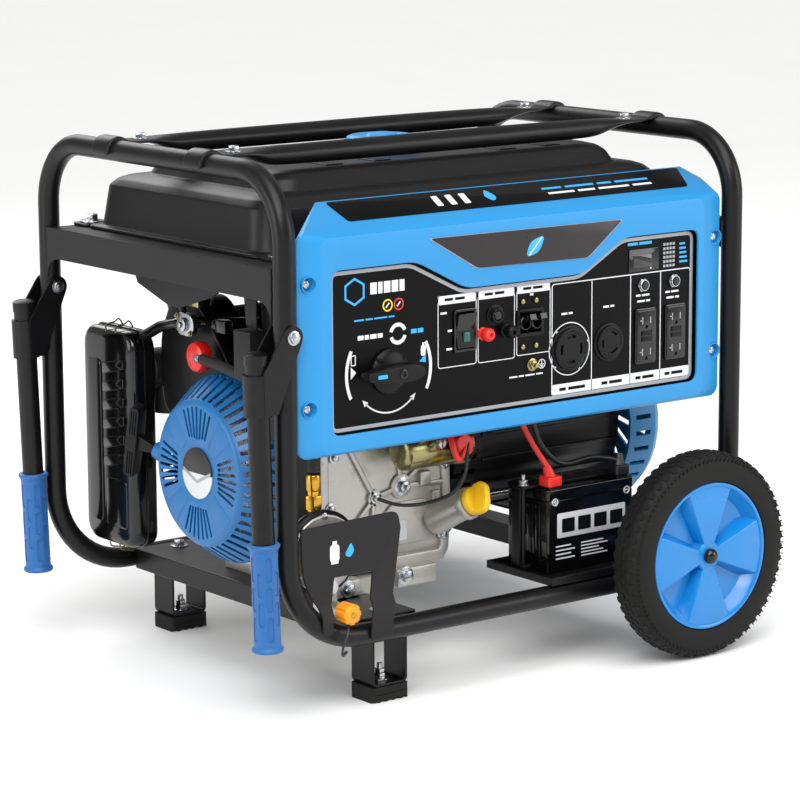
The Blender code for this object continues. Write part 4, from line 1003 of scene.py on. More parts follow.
def make_controls():
    x, z = SELECTOR
    boss = spun([(0.0, 0), (0.0, 26.0), (-3.4, 26.0), (-5.4, 24), (-8.6, 19), (-9.0, 0)],
                (x, FACE_Y - 0.4, z), REARWARD, 64)
    lower = [(x - 48, z - 5.0), (x - 18, z - 9.5), (x + 18, z - 10.5), (x + 32, z - 5.5)]
    upper = [(x + 32, z + 5.5), (x + 18, z + 10.5), (x - 18, z + 9.5), (x - 48, z + 5.0)]
    lever = slab(softened(lower + upper, 9, 5), "Y", -8.0, -25.5, 2.4, 4)
    spindle = rod((x, -2, z), (x, 14, z), 7.8, 24)
    humps = [disc((x + dx, -2.5, z + 17.0), (0, 0.4, -1), 6.0, 14.0, 2.0, 24) for dx in (-15.0, 15.0)]
    piece("selector_handle", join(boss, lever, spindle, *humps), "black_moulding", "fuel selector",
          stands_for=("selector_knob",))
    mark = slab(rounded((x - 36, z - 2.2), (x - 23, z + 2.2), 1.0, 3), "Y", -26.0, -25.2)
    piece("selector_mark", mark, "blue_ink", "fuel selector")
    screw = carved(disc((x, -24.6, z), FORWARD, 5.4, 1.8, 0.5, 32), rod((x, -24.9, z), (x, -30, z), 3.4, 6))
    piece("selector_screw", screw, "gloss_moulding", "fuel selector")

    sx, sz = 253.0, 332.0
    surround = frame_line(rounded((sx - 16, sz - 24.5), (sx + 16, sz + 24.5), 2.5, 4), "Y", -0.6,
                          FACE_Y + 0.2, 2.8)
    piece("rocker_surround", eased(surround, 0.4, 2, 60), "gloss_moulding")
    refined("engine_switch", "gloss_moulding", "engine rocker", ease=0.8, segments=3)
    lamp = block((sx - 4.5, -3.8, sz - 13), (sx + 4.5, -1.4, sz - 2), 0.6)
    piece("rocker_lamp", lamp, "green_lens", "engine rocker")

    bx, bz = 298.5, 344.5
    collar = join(disc((bx, FACE_Y, bz), FORWARD, 12.5, 1.0, 0.3, 40),
                  hexagon((bx, FACE_Y - 0.8, bz), FORWARD, 11.0, 2.4, 0.8),
                  spun([(0, 6.2), (-6.5, 6.2), (-6.5, 8.4), (-3, 9.0), (0, 9.0)], (bx, FACE_Y, bz),
                       REARWARD, 40))
    piece("dc_breaker_collar", collar, "black_moulding")
    refined("dc_breaker_button", "gloss_moulding", "dc breaker", ease=0.5)
    for px, finish, name in ((279.5, "red_sheath", "positive"), (314.0, "black_moulding", "negative")):
        post = [(0, 0), (0, 7.5), (-2, 7.5), (-3, 5.4), (-5, 5.4), (-6, 7.2), (-14, 7.2), (-16, 6.2),
                (-17, 5.0), (-17, 2.8), (-14, 2.4), (-14, 0)]
        knurls = [block((cx - 0.8, -12, cz - 0.8), (cx + 0.8, -5, cz + 0.8), 0.3)
                  for cx, cz in polygon((px, 325.0), 7.0, 16)]
        piece("dc_post_" + name, join(spun(post, (px, FACE_Y, 325.0), REARWARD, 48), *knurls), finish)

    mx, mz = 350.0, 331.0
    surround = frame_line(rounded((mx - 20, mz - 16), (mx + 20, mz + 16), 2.5, 4), "Y", -1.0, FACE_Y + 0.2, 4.0)
    piece("main_breaker_surround", eased(surround, 0.6, 2, 60), "black_moulding")
    for side in (-8.5, 8.5):
        collar = spun([(0, 9.4), (-2.0, 9.2), (-4.0, 7.6), (-4.0, 6.8), (0, 6.8)],
                      (mx + side, FACE_Y - 1.0, mz), REARWARD, 36)
        piece("toggle_collar_" + ("left" if side < 0 else "right"), collar, "gloss_moulding")
    refined("main_breaker_toggle", "gloss_moulding", "main breaker", ease=0.9, segments=3)
    screws = [disc((mx + dx, FACE_Y + 0.2, mz + dz), FORWARD, 3.2, 2.6, 1.2, 24)
              for dx in (-10.5, 9.5) for dz in (-28.0, 25.0)]
    piece("breaker_screws", join(*screws), "passivated_zinc")
    gx, gz = 354.5, 280.5
    ground = join(disc((gx, FACE_Y, gz), FORWARD, 7.5, 0.8, 0.3, 32),
                  hexagon((gx, 1.2, gz), FORWARD, 5.6, 3.6),
                  rod((gx, -1.5, gz), (gx, -7.5, gz), 2.6, 24))
    piece("ground_terminal", ground, "passivated_zinc")
    lines = [ink(bar(368.5, 280, 1, 4))]
    lines += [ink(bar(365.6 + i, 279.2 - i * 1.5, 6.8 - 2 * i, 0.8)) for i in range(3)]
    piece("ground_mark", join(ink_line(polygon((369, 280), 5.6, 28), 0.9), *lines), "white_ink")

    for which, cx, cz, radius in (("large", 411.5, 293.0, 25.0), ("small", 472.5, 294.5, 20.0)):
        body = [(0.4, 0), (0.4, radius + 3), (-0.9, radius + 3), (-1.5, radius + 2.2), (-1.6, radius),
                (-4.4, radius - 0.3), (-5.0, radius - 1.4), (-5.0, radius - 3.0), (-4.0, radius - 4.0), (-4.0, 0)]
        shape = spun(body, (cx, FACE_Y - 0.4, cz), REARWARD, 96)
        spans = {"large": ((65, 115), (155, 200), (245, 290), (-25, 20)),
                 "small": ((40, 85), (160, 205), (270, 325))}[which]
        slots = [slab(ring_sector((cx, cz), radius * 0.54, radius * 0.68, start, end, 8), "Y", -20, 0.4)
                 for start, end in spans]
        piece("twist_outlet_face_" + which, carved(shape, *slots), "black_moulding",
              stands_for=("twist_outlet_" + which,))
        if which == "large":
            ring = spun([(0, radius + 6.6), (-0.4, radius + 6.6), (-0.4, radius + 5.4), (0, radius + 5.4)],
                        (cx, FACE_Y + 0.05, cz), REARWARD, 96)
            ticks = [ink(ring_sector((cx, cz), radius + 3.4, radius + 6.0, a, a + 5, 2))
                     for a in (10, 130, 220, 300)]
            piece("twist_outlet_ring", join(ring, *ticks), "white_ink")
    for which, cx, cz in (("left", 530.0, 296.0), ("right", 578.0, 296.5)):
        shape = slab(rounded((cx - 16.5, cz - 33.5), (cx + 16.5, cz + 33.5), 3.0, 5), "Y",
                     FACE_Y - 2.6, FACE_Y - 0.2, 0.6)
        raised = slab(rounded((cx - 14.5, cz - 31), (cx + 14.5, cz + 31), 2.0, 5), "Y",
                      FACE_Y - 3.5, FACE_Y - 2.0, 0.5)
        cutters = [frame_line(rounded((cx - 8.5, cz - 6.8), (cx + 8.5, cz + 6.8), 1.0, 2), "Y", -12, -0.4, 0.7)]
        marks = []
        for rise in (-19.0, 19.0):
            cutters.append(slab(rounded((cx - 2.6, cz + rise - 10.0), (cx + 2.6, cz + rise - 5.6), 2.1, 4),
                                "Y", -12, 0.5))
            marks += [block((cx - 7.0, -2.0, cz + rise - 4.2), (cx - 5.6, 0.5, cz + rise + 4.2)),
                      block((cx - 10.0, -2.0, cz + rise - 0.7), (cx - 6.0, 0.5, cz + rise + 0.7)),
                      block((cx + 5.6, -2.0, cz + rise - 3.8), (cx + 7.0, 0.5, cz + rise + 3.8))]
        piece("duplex_face_" + which, carved(join(shape, raised), *cutters), "gloss_moulding",
              stands_for=("duplex_outlet_" + which,))
        piece("duplex_contacts_" + which, join(*marks), "silver_ink")
        buttons = [slab(rounded((cx - 7.2, cz + low), (cx + 7.2, cz + low + 5.4), 1.0, 3), "Y", -2.4, -0.5, 0.4)
                   for low in (-6.0, 0.6)]
        piece("duplex_buttons_" + which, join(*buttons), "black_moulding")
    for which, cx, cz in (("left", 525.7, 357.5), ("right", 575.5, 358.0)):
        collar = join(hexagon((cx, FACE_Y, cz), FORWARD, 8.6, 3.0, 0.8),
                      spun([(0, 5.7), (-5.5, 5.7), (-5.5, 6.6), (-5.0, 7.0), (0, 7.0)], (cx, FACE_Y, cz),
                           REARWARD, 40))
        piece("reset_collar_" + which, collar, "zinc")
        refined("reset_button_" + which, "gloss_moulding", which + " reset", ease=0.7)
    refined("control_box", "black_moulding", ease=2.0, segments=3)


# ---------------------------------------------------------------- starter

def make_starter():
    y, z = CRANK
    face, depth = 26.0, 51.7
    profile = [(0.6, 0), (0.6, 33), (0.0, 34.5), (0.0, 80), (0.9, 83.0), (3, 85.4), (7, 88.6), (14, 93.5),
               (26, 102), (34, 107.5), (40, 110.6), (44, 111.8), (depth, 112), (depth, 108.8), (46, 108.6),
               (41, 107), (24, 97), (12, 89.0), (6, 84.6), (3.6, 81), (3.4, 0)]
    shell = spun(profile, (face, y, z), (1, 0, 0), 144, closed=False)
    cutters = []
    for quarter in range(4):
        middle = 90.0 * quarter
        for k in range(-3, 4):
            spread = math.radians(middle + k * 6.9)
            inner, outer = 39.5 + abs(k) * 1.2, 78.5 - abs(k) * 0.8
            slot = slab(rounded((inner, -1.9), (outer, 1.9), 1.6, 3), "Z", -6.0, 8.0)
            cutters.append(moved(slot, Matrix.Translation((face, y, z)) @ Matrix.Rotation(spread, 4, 'X')
                                 @ Matrix.Rotation(math.pi / 2, 4, 'Y') @ Matrix.Rotation(math.pi, 4, 'X')))
    cutters += around(lambda: block((face + 5.0, -2.7, 80.0), (face + 39.0, 2.7, 120.0)), 46, (0, y, z),
                      skip=0.5)
    pull = Vector((-0.4, 0.87, 0.29)).normalized()
    grip = Vector((32.0, 352.0, 177.5))
    shell = carved(shell, *cutters, rod(grip - pull * 75, grip - pull * 14, 5.0, 24))
    # The starter cover's finish is the cover blue darkened with painted shade.
    piece("starter_cover", shell, "blue_starter", stands_for=("recoil_cover",), smooth=38)
    creases = []
    for quarter in range(4):
        a = math.radians(45.0 + 90 * quarter)
        wedge = slab(softened([(38, -9.0), (38, 9.0), (79, 15.0), (79, -15.0)], 2.5, 3), "Z", -1.0, 0.6, 0.5)
        creases.append(moved(wedge, Matrix.Translation((face + 0.2, y, z)) @ Matrix.Rotation(a, 4, 'X')
                             @ Matrix.Rotation(math.pi / 2, 4, 'Y') @ Matrix.Rotation(math.pi, 4, 'X')))
    piece("starter_creases", join(*creases), "blue_starter")
    mouth = spun([(0, 9.5), (0, 6.0), (14, 6.0), (14, 13.0), (8, 11.5), (2, 10.5)], grip - pull * 30, -pull, 40)
    piece("rope_mouth", mouth, "blue_starter")
    for name, first, rise, finish in (("upper", 0, 1.0, "badge_film"), ("lower", 180, 0.9, "label_paper")):
        half = slab(arc((y, z), 30.0, first, first + 180, 28), "X", face - rise, face + 1.2, 0.4)
        piece("starter_badge_" + name, half, finish)
    chevron = softened([(y - 28, z + 5), (y, z - 8), (y + 28, z + 5), (y + 28, z + 1), (y, z - 12),
                        (y - 28, z + 1)], 1.0, 2)
    piece("starter_badge_stripe", slab(chevron, "X", face - 1.4, face + 0.5, 0.2), "silver_ink")

    along = Vector((0, 0.592, -0.806))
    side = pull.cross(along).normalized()
    along = side.cross(pull).normalized()
    turn = Matrix((along, side, pull)).transposed().to_4x4()
    place = Matrix.Translation(grip) @ turn
    outline = softened([(-48, -7), (-14, -8), (-5, -9), (5, -9), (14, -8), (48, -7), (48, 6.5), (14, 7),
                        (-14, 7), (-48, 6.5)], 4, 4)
    handle = slab(outline, "Y", -8.8, 8.8, 2.0, 3)
    pockets = [block((x0, s * 7.6 - 1.6, -3.6 + 3.1 * k), (x1, s * 7.6 + 1.6 + s * 2, -2.2 + 3.1 * k))
               for s in (-1, 1) for x0, x1 in ((-44, -12), (12, 44)) for k in range(3)]
    handle = moved(carved(handle, *pockets), Matrix.Scale(-1, 4, UP))
    stem = [[(wide * i, deep * j, end) for i, j in ((-1, -1), (1, -1), (1, 1), (-1, 1))]
            for wide, deep, end in ((11, 5, -4), (5, 4, -28))]
    neck = eased(lofted(stem), 1.6, 3)
    rope = rod((0, 0, -20), (0, 0, -125), 2.0, 16)
    bmesh.ops.recalc_face_normals(handle, faces=handle.faces)
    piece("pull_grip", moved(join(handle, neck), place), "black_moulding", "recoil grip",
          stands_for=("starter_grip",))
    piece("pull_rope", moved(rope, place), "braided_hose", "recoil grip")
    refined("blower_housing", "powder_coat", ease=1.5, segments=3)
    refined("crankshaft", "zinc", "crankshaft and rotor", ease=0.5)
    fins = around(lambda: block((84.5, -1.2, 50), (93, 1.2, 90), 0.5), 20, (0, y, z))
    piece("flywheel_fins", join(*fins), "casting", "crankshaft and rotor")


# ---------------------------------------------------------------- engine

def make_air_filter():
    rings = ((45.0, 9, 17), (46.2, 5, 19), (49.0, 1.8, 21), (53.0, 0.3, 22), (58.0, 0.0, 22), (76.0, 0.0, 22),
             (78.6, 1.2, 21), (80.0, 4.0, 18))
    case = lofted([[(x, a, b) for a, b in rounded((377 + i, 34 + i), (488 - i, 301 - i), radius, 8)]
                   for x, i, radius in rings])
    shapes = [case]
    for i in range(6):
        top = 272 - 23 * i
        step = softened([(391, top - 4), (437, top - 13), (437, top - 27), (391, top - 16)], 4, 4)
        shapes.append(slab(step, "X", 46.5, 41.2, 1.6, 4))
    shapes.append(slab(rounded((444, 60), (474, 262), 9, 6), "X", 46.5, 43.0, 1.6, 4))
    shapes.append(slab(rounded((391, 58), (437, 118), 7, 6), "X", 46.5, 43.6, 1.4, 4))
    piece("filter_case", join(*shapes), "gloss_moulding", stands_for=("air_filter_box",), smooth=50)
    seam = frame_line(rounded((375.5, 32.5), (489.5, 302.5), 23, 8), "X", 63.0, 66.5, 4.0)
    piece("filter_seam", eased(seam, 0.8, 2, 50), "gloss_moulding")
    for name, z, out in (("top", 301.0, 1), ("bottom", 34.0, -1)):
        for k, y in enumerate((414.0, 436.0)):
            path = flowing([(px, y + aside, z + out * rise) for px, aside, rise in (
                (52, 0, -9), (47.5, 0, -2), (50, 0, 4), (60, 0, 6), (68, 3, 8.5), (74, 5, 3), (76, 5, -4))], 5)
            piece(f"filter_clip_{name}_{k + 1}", tube(path, 1.0, 3), "spring_wire")
    intake = filleted([(66, 380, 296), (66, 345, 312), (66, 300, 322), (110, 262, 322), (150, 262, 318)],
                      (24, 24, 24), 8)
    piece("breather_pipe", tube(intake, 6.8, 6), "gloss_moulding")
    lever = slab(softened([(330, 300), (342, 300), (346, 326), (360, 330), (360, 338), (338, 338),
                           (332, 322)], 4, 4), "X", 86, 92, 1.2, 3)
    piece("choke_lever", lever, "gloss_moulding")


def make_fuel_parts():
    refined("carburettor", "black_casting", ease=1.5, segments=3)
    oval = join(slab(rounded((270, 308), (306, 336), 12, 6), "X", 62, 70, 1.4, 3),
                disc((62, 288, 322), (-1, 0, 0), 8.5, 5.0, 1.0, 36),
                disc((60, 288, 322), (-1, 0, 0), 3.5, 6.0, 0.6, 24))
    piece("fuel_valve", oval, "zinc")
    screws = [bolt((62, y, z), (-1, 0, 0), 2.6, 1.3) for y, z in ((274, 313), (302, 331))]
    piece("fuel_valve_screws", join(*screws), "passivated_zinc")
    piece("pulse_block", block((64, 262, 344), (84, 282, 364), 1.6, 3), "passivated_zinc")
    cap = [(0, 0), (0, 14), (1.5, 17), (5, 18.2), (12, 18.4), (16, 16.5), (18.2, 12), (19, 5), (19, 0)]
    piece("primer_cap", spun(cap, (70, 256, 288), (-1, 0, 0), 64), "red_cap")
    ferrule = join(hexagon((54, 252, 288), FORWARD, 5.6, 8, 0.6), rod((54, 246, 288), (54, 238, 288), 4.4))
    piece("primer_ferrule", ferrule, "zinc")
    cable = flowing([(54, 240, 288), (52, 215, 287), (46, 180, 286), (38, 140, 285), (30, 100, 284),
                     (26, 60, 283)], 8)
    piece("control_cable", tube(cable, 6.2, 6), "braided_hose")
    bracket = slab([(96, 342), (116, 346), (120, 380), (96, 380)], "X", 30, 33, 0.6)
    fold = block((18, 92, 288), (46, 124, 342), 1.2, 3)
    piece("relay_bracket", join(bracket, fold), "sheet_coat")
    piece("tank_strut", tube([(60, 318, 388), (72, 300, 330)], 4.0, 3), "powder_coat")
    tray = slab([(140, 388), (330, 388), (322, 372), (256, 352), (236, 352), (170, 372)], "X", 20, 23, 0.6)
    piece("tank_underguard", tray, "sheet_coat")
    hose = flowing([(84, 272, 352), (100, 290, 345), (112, 330, 320), (112, 372, 292), (112, 396, 280)], 8)
    piece("fuel_hose", tube(hose, 4.4, 5), "black_sheath")
    knob = join(rod((62, 214, 330), (62, 222, 330), 7.0), block((56, 196, 322), (68, 216, 338), 2.0, 3))
    piece("fuel_tap_body", knob, "gloss_moulding")


def make_engine():
    y, z = CRANK
    refined("crankcase", "casting", ease=3.0, segments=4, sharp=20)
    refined("cylinder_head", "black_casting", ease=2.0, segments=3, sharp=20)
    lean = math.radians(35.0)

    def on_head(reach, aside):
        """A point of the leaning cylinder, from its reach along the cylinder and its side step."""
        return (y + reach * math.cos(lean) - aside * math.sin(lean),
                z + reach * math.sin(lean) + aside * math.cos(lean))

    fins = []
    for count, first, pitch, half, x0, x1 in ((9, 78, 8.0, 60, 138, 296), (5, 160, 9.0, 62, 143, 293)):
        for i in range(count):
            corners = [on_head(*corner) for corner in bar(first + pitch * i, -half, 2.6, 2 * half)]
            fins.append(slab(corners, "X", x0, x1, 0.7))
    piece("cooling_fins", join(*fins), "black_casting")
    duct = [(292, 214), (330, 196), (366, 206), (374, 246), (372, 300), (348, 346), (300, 350), (262, 318),
            (222, 268)]
    walls = join(slab(softened(duct, 16, 5), "X", 84, 134, 3.0, 3), block((84, 300, 120), (122, 340, 214), 4.0, 3))
    piece("cooling_duct", walls, "powder_coat")
    front = y - 92.0
    rim = [(132, 34), (322, 34), (326, 100), (322, 214), (280, 230), (170, 230), (132, 190)]
    flange = frame_line(softened(rim, 18, 6), "Y", front - 3.0, front + 10.0, 13.0)
    piece("case_flange", eased(flange, 2.0, 3, 60), "casting")
    webs = []
    for x0, z0, x1, z1 in ((150, 60, 211, 122), (211, 122, 251, 131), (251, 131, 312, 176), (211, 122, 168, 196),
                           (251, 131, 240, 214), (211, 122, 204, 46), (251, 131, 314, 128), (268, 150, 276, 214)):
        run = Vector((x1 - x0, z1 - z0))
        side = Vector((-run.y, run.x)).normalized() * 3.2
        rib = [(x0 + side.x, z0 + side.y), (x1 + side.x, z1 + side.y), (x1 - side.x, z1 - side.y),
               (x0 - side.x, z0 - side.y)]
        webs.append(slab(rib, "Y", front - 4.0, front + 12.0, 1.4, 3))
    webs.append(spun([(8, 0), (8, 18), (-3, 15), (-4.5, 12), (-4.5, 0)], (251, front, 131), REARWARD, 56))
    webs.append(spun([(8, 0), (8, 11), (-4, 9.5), (-4, 0)], (211, front, 122), REARWARD, 40))
    webs.append(block((276, front - 8, 128), (292, front + 4, 146), 2.2, 3))
    webs.append(block((296, front - 6, 92), (308, front + 4, 120), 2.0, 3))
    webs.append(slab(softened([(222, 60), (300, 60), (306, 96), (286, 112), (236, 112), (222, 96)], 8, 5), "Y",
                     front - 3.0, front + 4.0, 1.6, 3))
    piece("case_webs", join(*webs), "casting")
    heads = [(146, 52), (146, 118), (152, 178), (196, 220), (256, 222), (308, 202), (316, 150), (312, 64),
             (226, 46)]
    piece("case_bolts", join(*[bolt((x, front - 3.2, h), FORWARD, 4.6, 1.5) for x, h in heads]), "zinc")
    piece("sensor_bolt", join(bolt((251, front - 4.0, 131), FORWARD, 7.5, 1.5),
                              rod((251, front - 10, 131), (251, front - 17, 131), 3.2)), "zinc")
    piece("lead_bolt", bolt((211, front - 4.0, 122), FORWARD, 4.6, 1.4), "zinc")
    foot_block = block((232, 100, 13.2), (291, 130, 36), 2.4, 3)
    piece("engine_foot", join(foot_block, block((140, 100, 13.2), (178, 130, 34), 2.4, 3)), "casting")
    bolts = join(bolt((243, 100, 27), FORWARD, 7.5, 1.5), bolt((158, 100, 24), FORWARD, 7.0, 1.5))
    piece("engine_foot_bolt", bolts, "zinc")
    piece("case_label", slab(rounded((244, 66), (258, 90), 1, 2), "Y", front - 3.8, front - 2.8), "label_paper")
    neck = Vector((0.25, -0.85, 0.46)).normalized()
    mouth = Vector((318.0, 62.0, 114.0))
    ring = spun([(-18, 10.5), (-18, 17.5), (-15, 19.5), (-10, 19.5), (-8.2, 18.5), (-8.2, 10.5)], mouth, neck, 56)
    boss = spun([(-66, 10.5), (-66, 19.5), (-44, 18.0), (-17, 16.5), (-17, 10.5)], mouth, neck, 56)
    piece("oil_neck", join(ring, boss), "casting")
    side = neck.cross(Vector(UP)).normalized()
    turn = Matrix((side, neck.cross(side), neck)).transposed().to_4x4()
    place = Matrix.Translation(mouth) @ turn
    collar = disc((0, 0, -7.6), UP, 17.0, 9.0, 2.0, 48)
    wing = slab(softened([(-19, -2), (19, -2), (20, 14), (12, 21), (-12, 21), (-20, 14)], 6, 5), "Y",
                -4.6, 4.6, 2.0, 4)
    wing = moved(wing, Matrix.Rotation(math.radians(62), 4, 'Z'))
    stick = rod((0, 0, -60), (0, 0, -4), 2.8, 16)
    piece("dipstick_wing", moved(join(collar, wing, stick), place), "yellow_nylon", "oil dipstick",
          stands_for=("dipstick",))

    motor = [(0, 0), (0, 12), (3, 20), (6, 23.4), (12, 24), (76, 24), (78, 23), (80, 25.5), (94, 27),
             (96, 26), (96, 0)]
    piece("starter_motor_case", spun(motor, (222, 88, 181), (1, 0, 0), 72), "passivated_zinc",
          stands_for=("starter_motor",))
    coil = [(0, 0), (0, 13), (2, 15), (52, 15), (54, 13), (54, 0)]
    piece("starter_solenoid", spun(coil, (240, 72, 206), (1, 0, 0), 56), "passivated_zinc")
    posts = [part for x in (262, 282) for part in (rod((x, 72, 192), (x, 52, 190), 3.2),
                                                   hexagon((x, 56, 190.4), FORWARD, 6.0, 4.0))]
    piece("solenoid_posts", join(*posts), "zinc")
    boot = slab(softened([(280, 176), (300, 174), (304, 192), (290, 202), (276, 196)], 5, 5), "Y", 44, 60, 2.4, 3)
    piece("starter_boot", boot, "red_sheath")
    lead = flowing([(292, 48, 186), (276, 40, 172), (268, 42, 190), (274, 52, 208), (300, 60, 216),
                    (330, 70, 216)], 8)
    piece("starter_lead", tube(lead, 3.6, 5), "red_sheath")
    earth = flowing([(300, 52, 208), (292, 44, 180), (290, 46, 152), (282, 60, 128), (262, 86, 114), (236, 102, 113),
                     (211, 110, 122)], 8)
    piece("sensor_lead", tube(earth, 2.2, 4), "black_sheath")
    shroud = slab(softened([(138, 196), (330, 196), (330, 262), (300, 282), (160, 282), (138, 262)], 12, 5),
                  "Y", 118, 128, 2.0, 3)
    piece("cooling_shroud", shroud, "powder_coat")
    refined("muffler", "hot_steel", ease=4.0, segments=4, sharp=20)
    guard = [slab(rounded((x, 304), (x + 9, 384), 4, 4), "Y", 429.0, 432.5, 0.5) for x in range(344, 560, 18)]
    guard.append(frame_line(rounded((336, 296), (562, 392), 14, 5), "Y", 428.5, 434.0, 5.0))
    piece("muffler_guard", join(*guard), "hot_steel")
    piece("tail_pipe_screen", join(*[rod((610.6, 390 + 5 * i, 319), (610.6, 390 + 5 * i, 341), 0.7, 8)
                                     for i in range(5)]), "zinc")


def make_alternator():
    y, z = CRANK
    slots = around(lambda: block((324, -3.0, 76), (368, 3.0, 104)), 30, (0, y, z))
    refined("alternator_housing", "powder_coat", ease=1.0, segments=2, cutters=slots)
    rods = []
    for cy, cz in polygon(CRANK, 94, 4, 45):
        rods.append(rod((332, cy, cz), (606, cy, cz), 3.4, 20))
        rods.append(hexagon((342, cy, cz), (-1, 0, 0), 6.2, 5.0))
    piece("alternator_tie_rods", join(*rods), "zinc")
    ribs = around(lambda: block((376, -3.0, 91.0), (588, 3.0, 94.5), 1.2, 2), 18, (0, y, z))
    piece("alternator_ribs", join(*ribs), "powder_coat")
    vents = (around(lambda: block((640, -3.2, 28), (660, 3.2, 82)), 14, (0, y, z))
             + around(lambda: block((608, -3.0, 100), (632, 3.0, 120)), 34, (0, y, z)))
    refined("alternator_cover", "blue_cover", ease=2.0, segments=4, sharp=25, cutters=vents)
    heads = [bolt((653.5, cy, cz), (1, 0, 0), 3.6, 1.4) for cy, cz in polygon(CRANK, 90, 4, 45)]
    piece("cover_screws", join(*heads), "zinc")


# ---------------------------------------------------------------- battery

def make_battery():
    lo, hi = (405.0, 32.0, 16.3), (541.0, 106.0, 118.0)
    case = slab(rounded(lo[:2], hi[:2], 3.0, 4), "Z", lo[2], hi[2] - 14, 0.8, 2)
    lid = slab(rounded((lo[0] - 0.8, lo[1] - 0.8), (hi[0] + 0.8, hi[1] + 0.8), 3.4, 4), "Z",
               hi[2] - 13.4, hi[2], 1.6, 3)
    shapes = [case, lid]
    for x in (lo[0] + 14, hi[0] - 14):
        shapes.append(block((x - 9, lo[1] + 3, hi[2] - 1), (x + 9, lo[1] + 21, hi[2] + 4), 1.4, 3))
    for i in range(6):
        shapes.append(disc((432 + 16.5 * i, 84, hi[2] - 0.5), UP, 6.0, 2.2, 0.6, 24))
    for x in (lo[0], hi[0]):
        for k in range(4):
            yy = lo[1] + 14 + 15 * k
            shapes.append(block((x - 0.7, yy, lo[2] + 8), (x + 0.7, yy + 8, hi[2] - 20), 0.4))
    piece("battery_case", join(*shapes), "gloss_moulding", stands_for=("battery",), smooth=30)
    y = lo[1]
    piece("battery_label", slab(rounded((420, 58), (528, 88), 2, 3), "Y", y - 0.7, y + 0.4, 0.1), "label_paper")
    cells = [slab(rounded((427 + 25.5 * i, 64), (447 + 25.5 * i, 81), 1, 2), "Y", y - 1.0, y - 0.2)
             for i in range(4)]
    piece("battery_label_panels", join(*cells), "black_moulding")
    lines = [slab(bar(418, 32 + 5 * i, 30 - 6 * (i % 2), 1.6), "Y", y - 0.5, y + 0.3) for i in range(4)]
    lines += [slab(bar(458, 31 + 4 * i, 42 - 7 * (i % 3), 1.4), "Y", y - 0.5, y + 0.3) for i in range(5)]
    for cx in (416.0, 530.0):
        lines.append(frame_line(polygon((cx, 103), 4.6, 24), "Y", y - 1.4, y + 0.3, 0.9))
        lines.append(block((cx - 2.6, y - 1.4, 102.5), (cx + 2.6, y + 0.3, 103.5)))
    lines.append(block((415.5, y - 1.4, 100.4), (416.5, y + 0.3, 105.6)))
    piece("battery_marks", join(*lines), "white_ink")
    clamp = slab(softened(bar(384, 52, 168, 20), 3, 3), "Z", hi[2] + 1.0, hi[2] + 4.0, 0.6)
    piece("battery_clamp", clamp, "powder_coat")
    for name, x in (("left", 392.0), ("right", 546.0)):
        nut = join(disc((x, 62, hi[2] + 4.0), UP, 7.5, 1.4, 0.4, 28),
                   hexagon((x, 62, hi[2] + 5.4), UP, 6.0, 5.0), rod((x, 62, hi[2] + 9), (x, 62, hi[2] + 17), 2.8))
        piece("clamp_nut_" + name, nut, "zinc")
        stay = join(tube([(x, 62, hi[2] + 2), (x, 62, 22)], 3.2, 4),
                    block((x - 6, 52, 20), (x + 6, 72, 26), 1.5, 3),
                    block((x - 7, 60, 23), (x - 4, 76, hi[2] + 1), 0.8))
        piece("clamp_stay_" + name, stay, "powder_coat")
    top = hi[2] + 9.5
    ceiling = 216.5
    red = flowing([(419, 44, top), (418, 45, top + 12), (400, 54, top + 45), (387, 61, ceiling - 14),
                   (386, 62, ceiling)], 8)
    piece("red_cable", tube(red, 3.4, 5), "red_sheath", stands_for=("battery_cable_red",))
    black = flowing([(527, 44, top), (525, 45, top + 10), (492, 52, top + 17), (450, 58, top + 14),
                     (420, 62, top + 40), (408, 66, ceiling - 12), (407, 67, ceiling)], 8)
    piece("black_cable", tube(black, 3.4, 5), "black_sheath", stands_for=("battery_cable_black",))
    for name, x, finish, lean in (("red", 419.0, "red_sheath", 1), ("black", 527.0, "black_sheath", -1)):
        hood = join(slab(softened(bar(x - 11, 33, 22, 21), 4, 4), "Z", hi[2] + 3, hi[2] + 15, 2.0, 3),
                    spun([(0, 0), (0, 7.5), (6, 6.6), (16, 4.8), (16, 0)], (x, 44, hi[2] + 12),
                         (-0.25 * lean, 0.2, 1), 32))
        piece("terminal_boot_" + name, hood, finish)


# ---------------------------------------------------------------- gas inlet

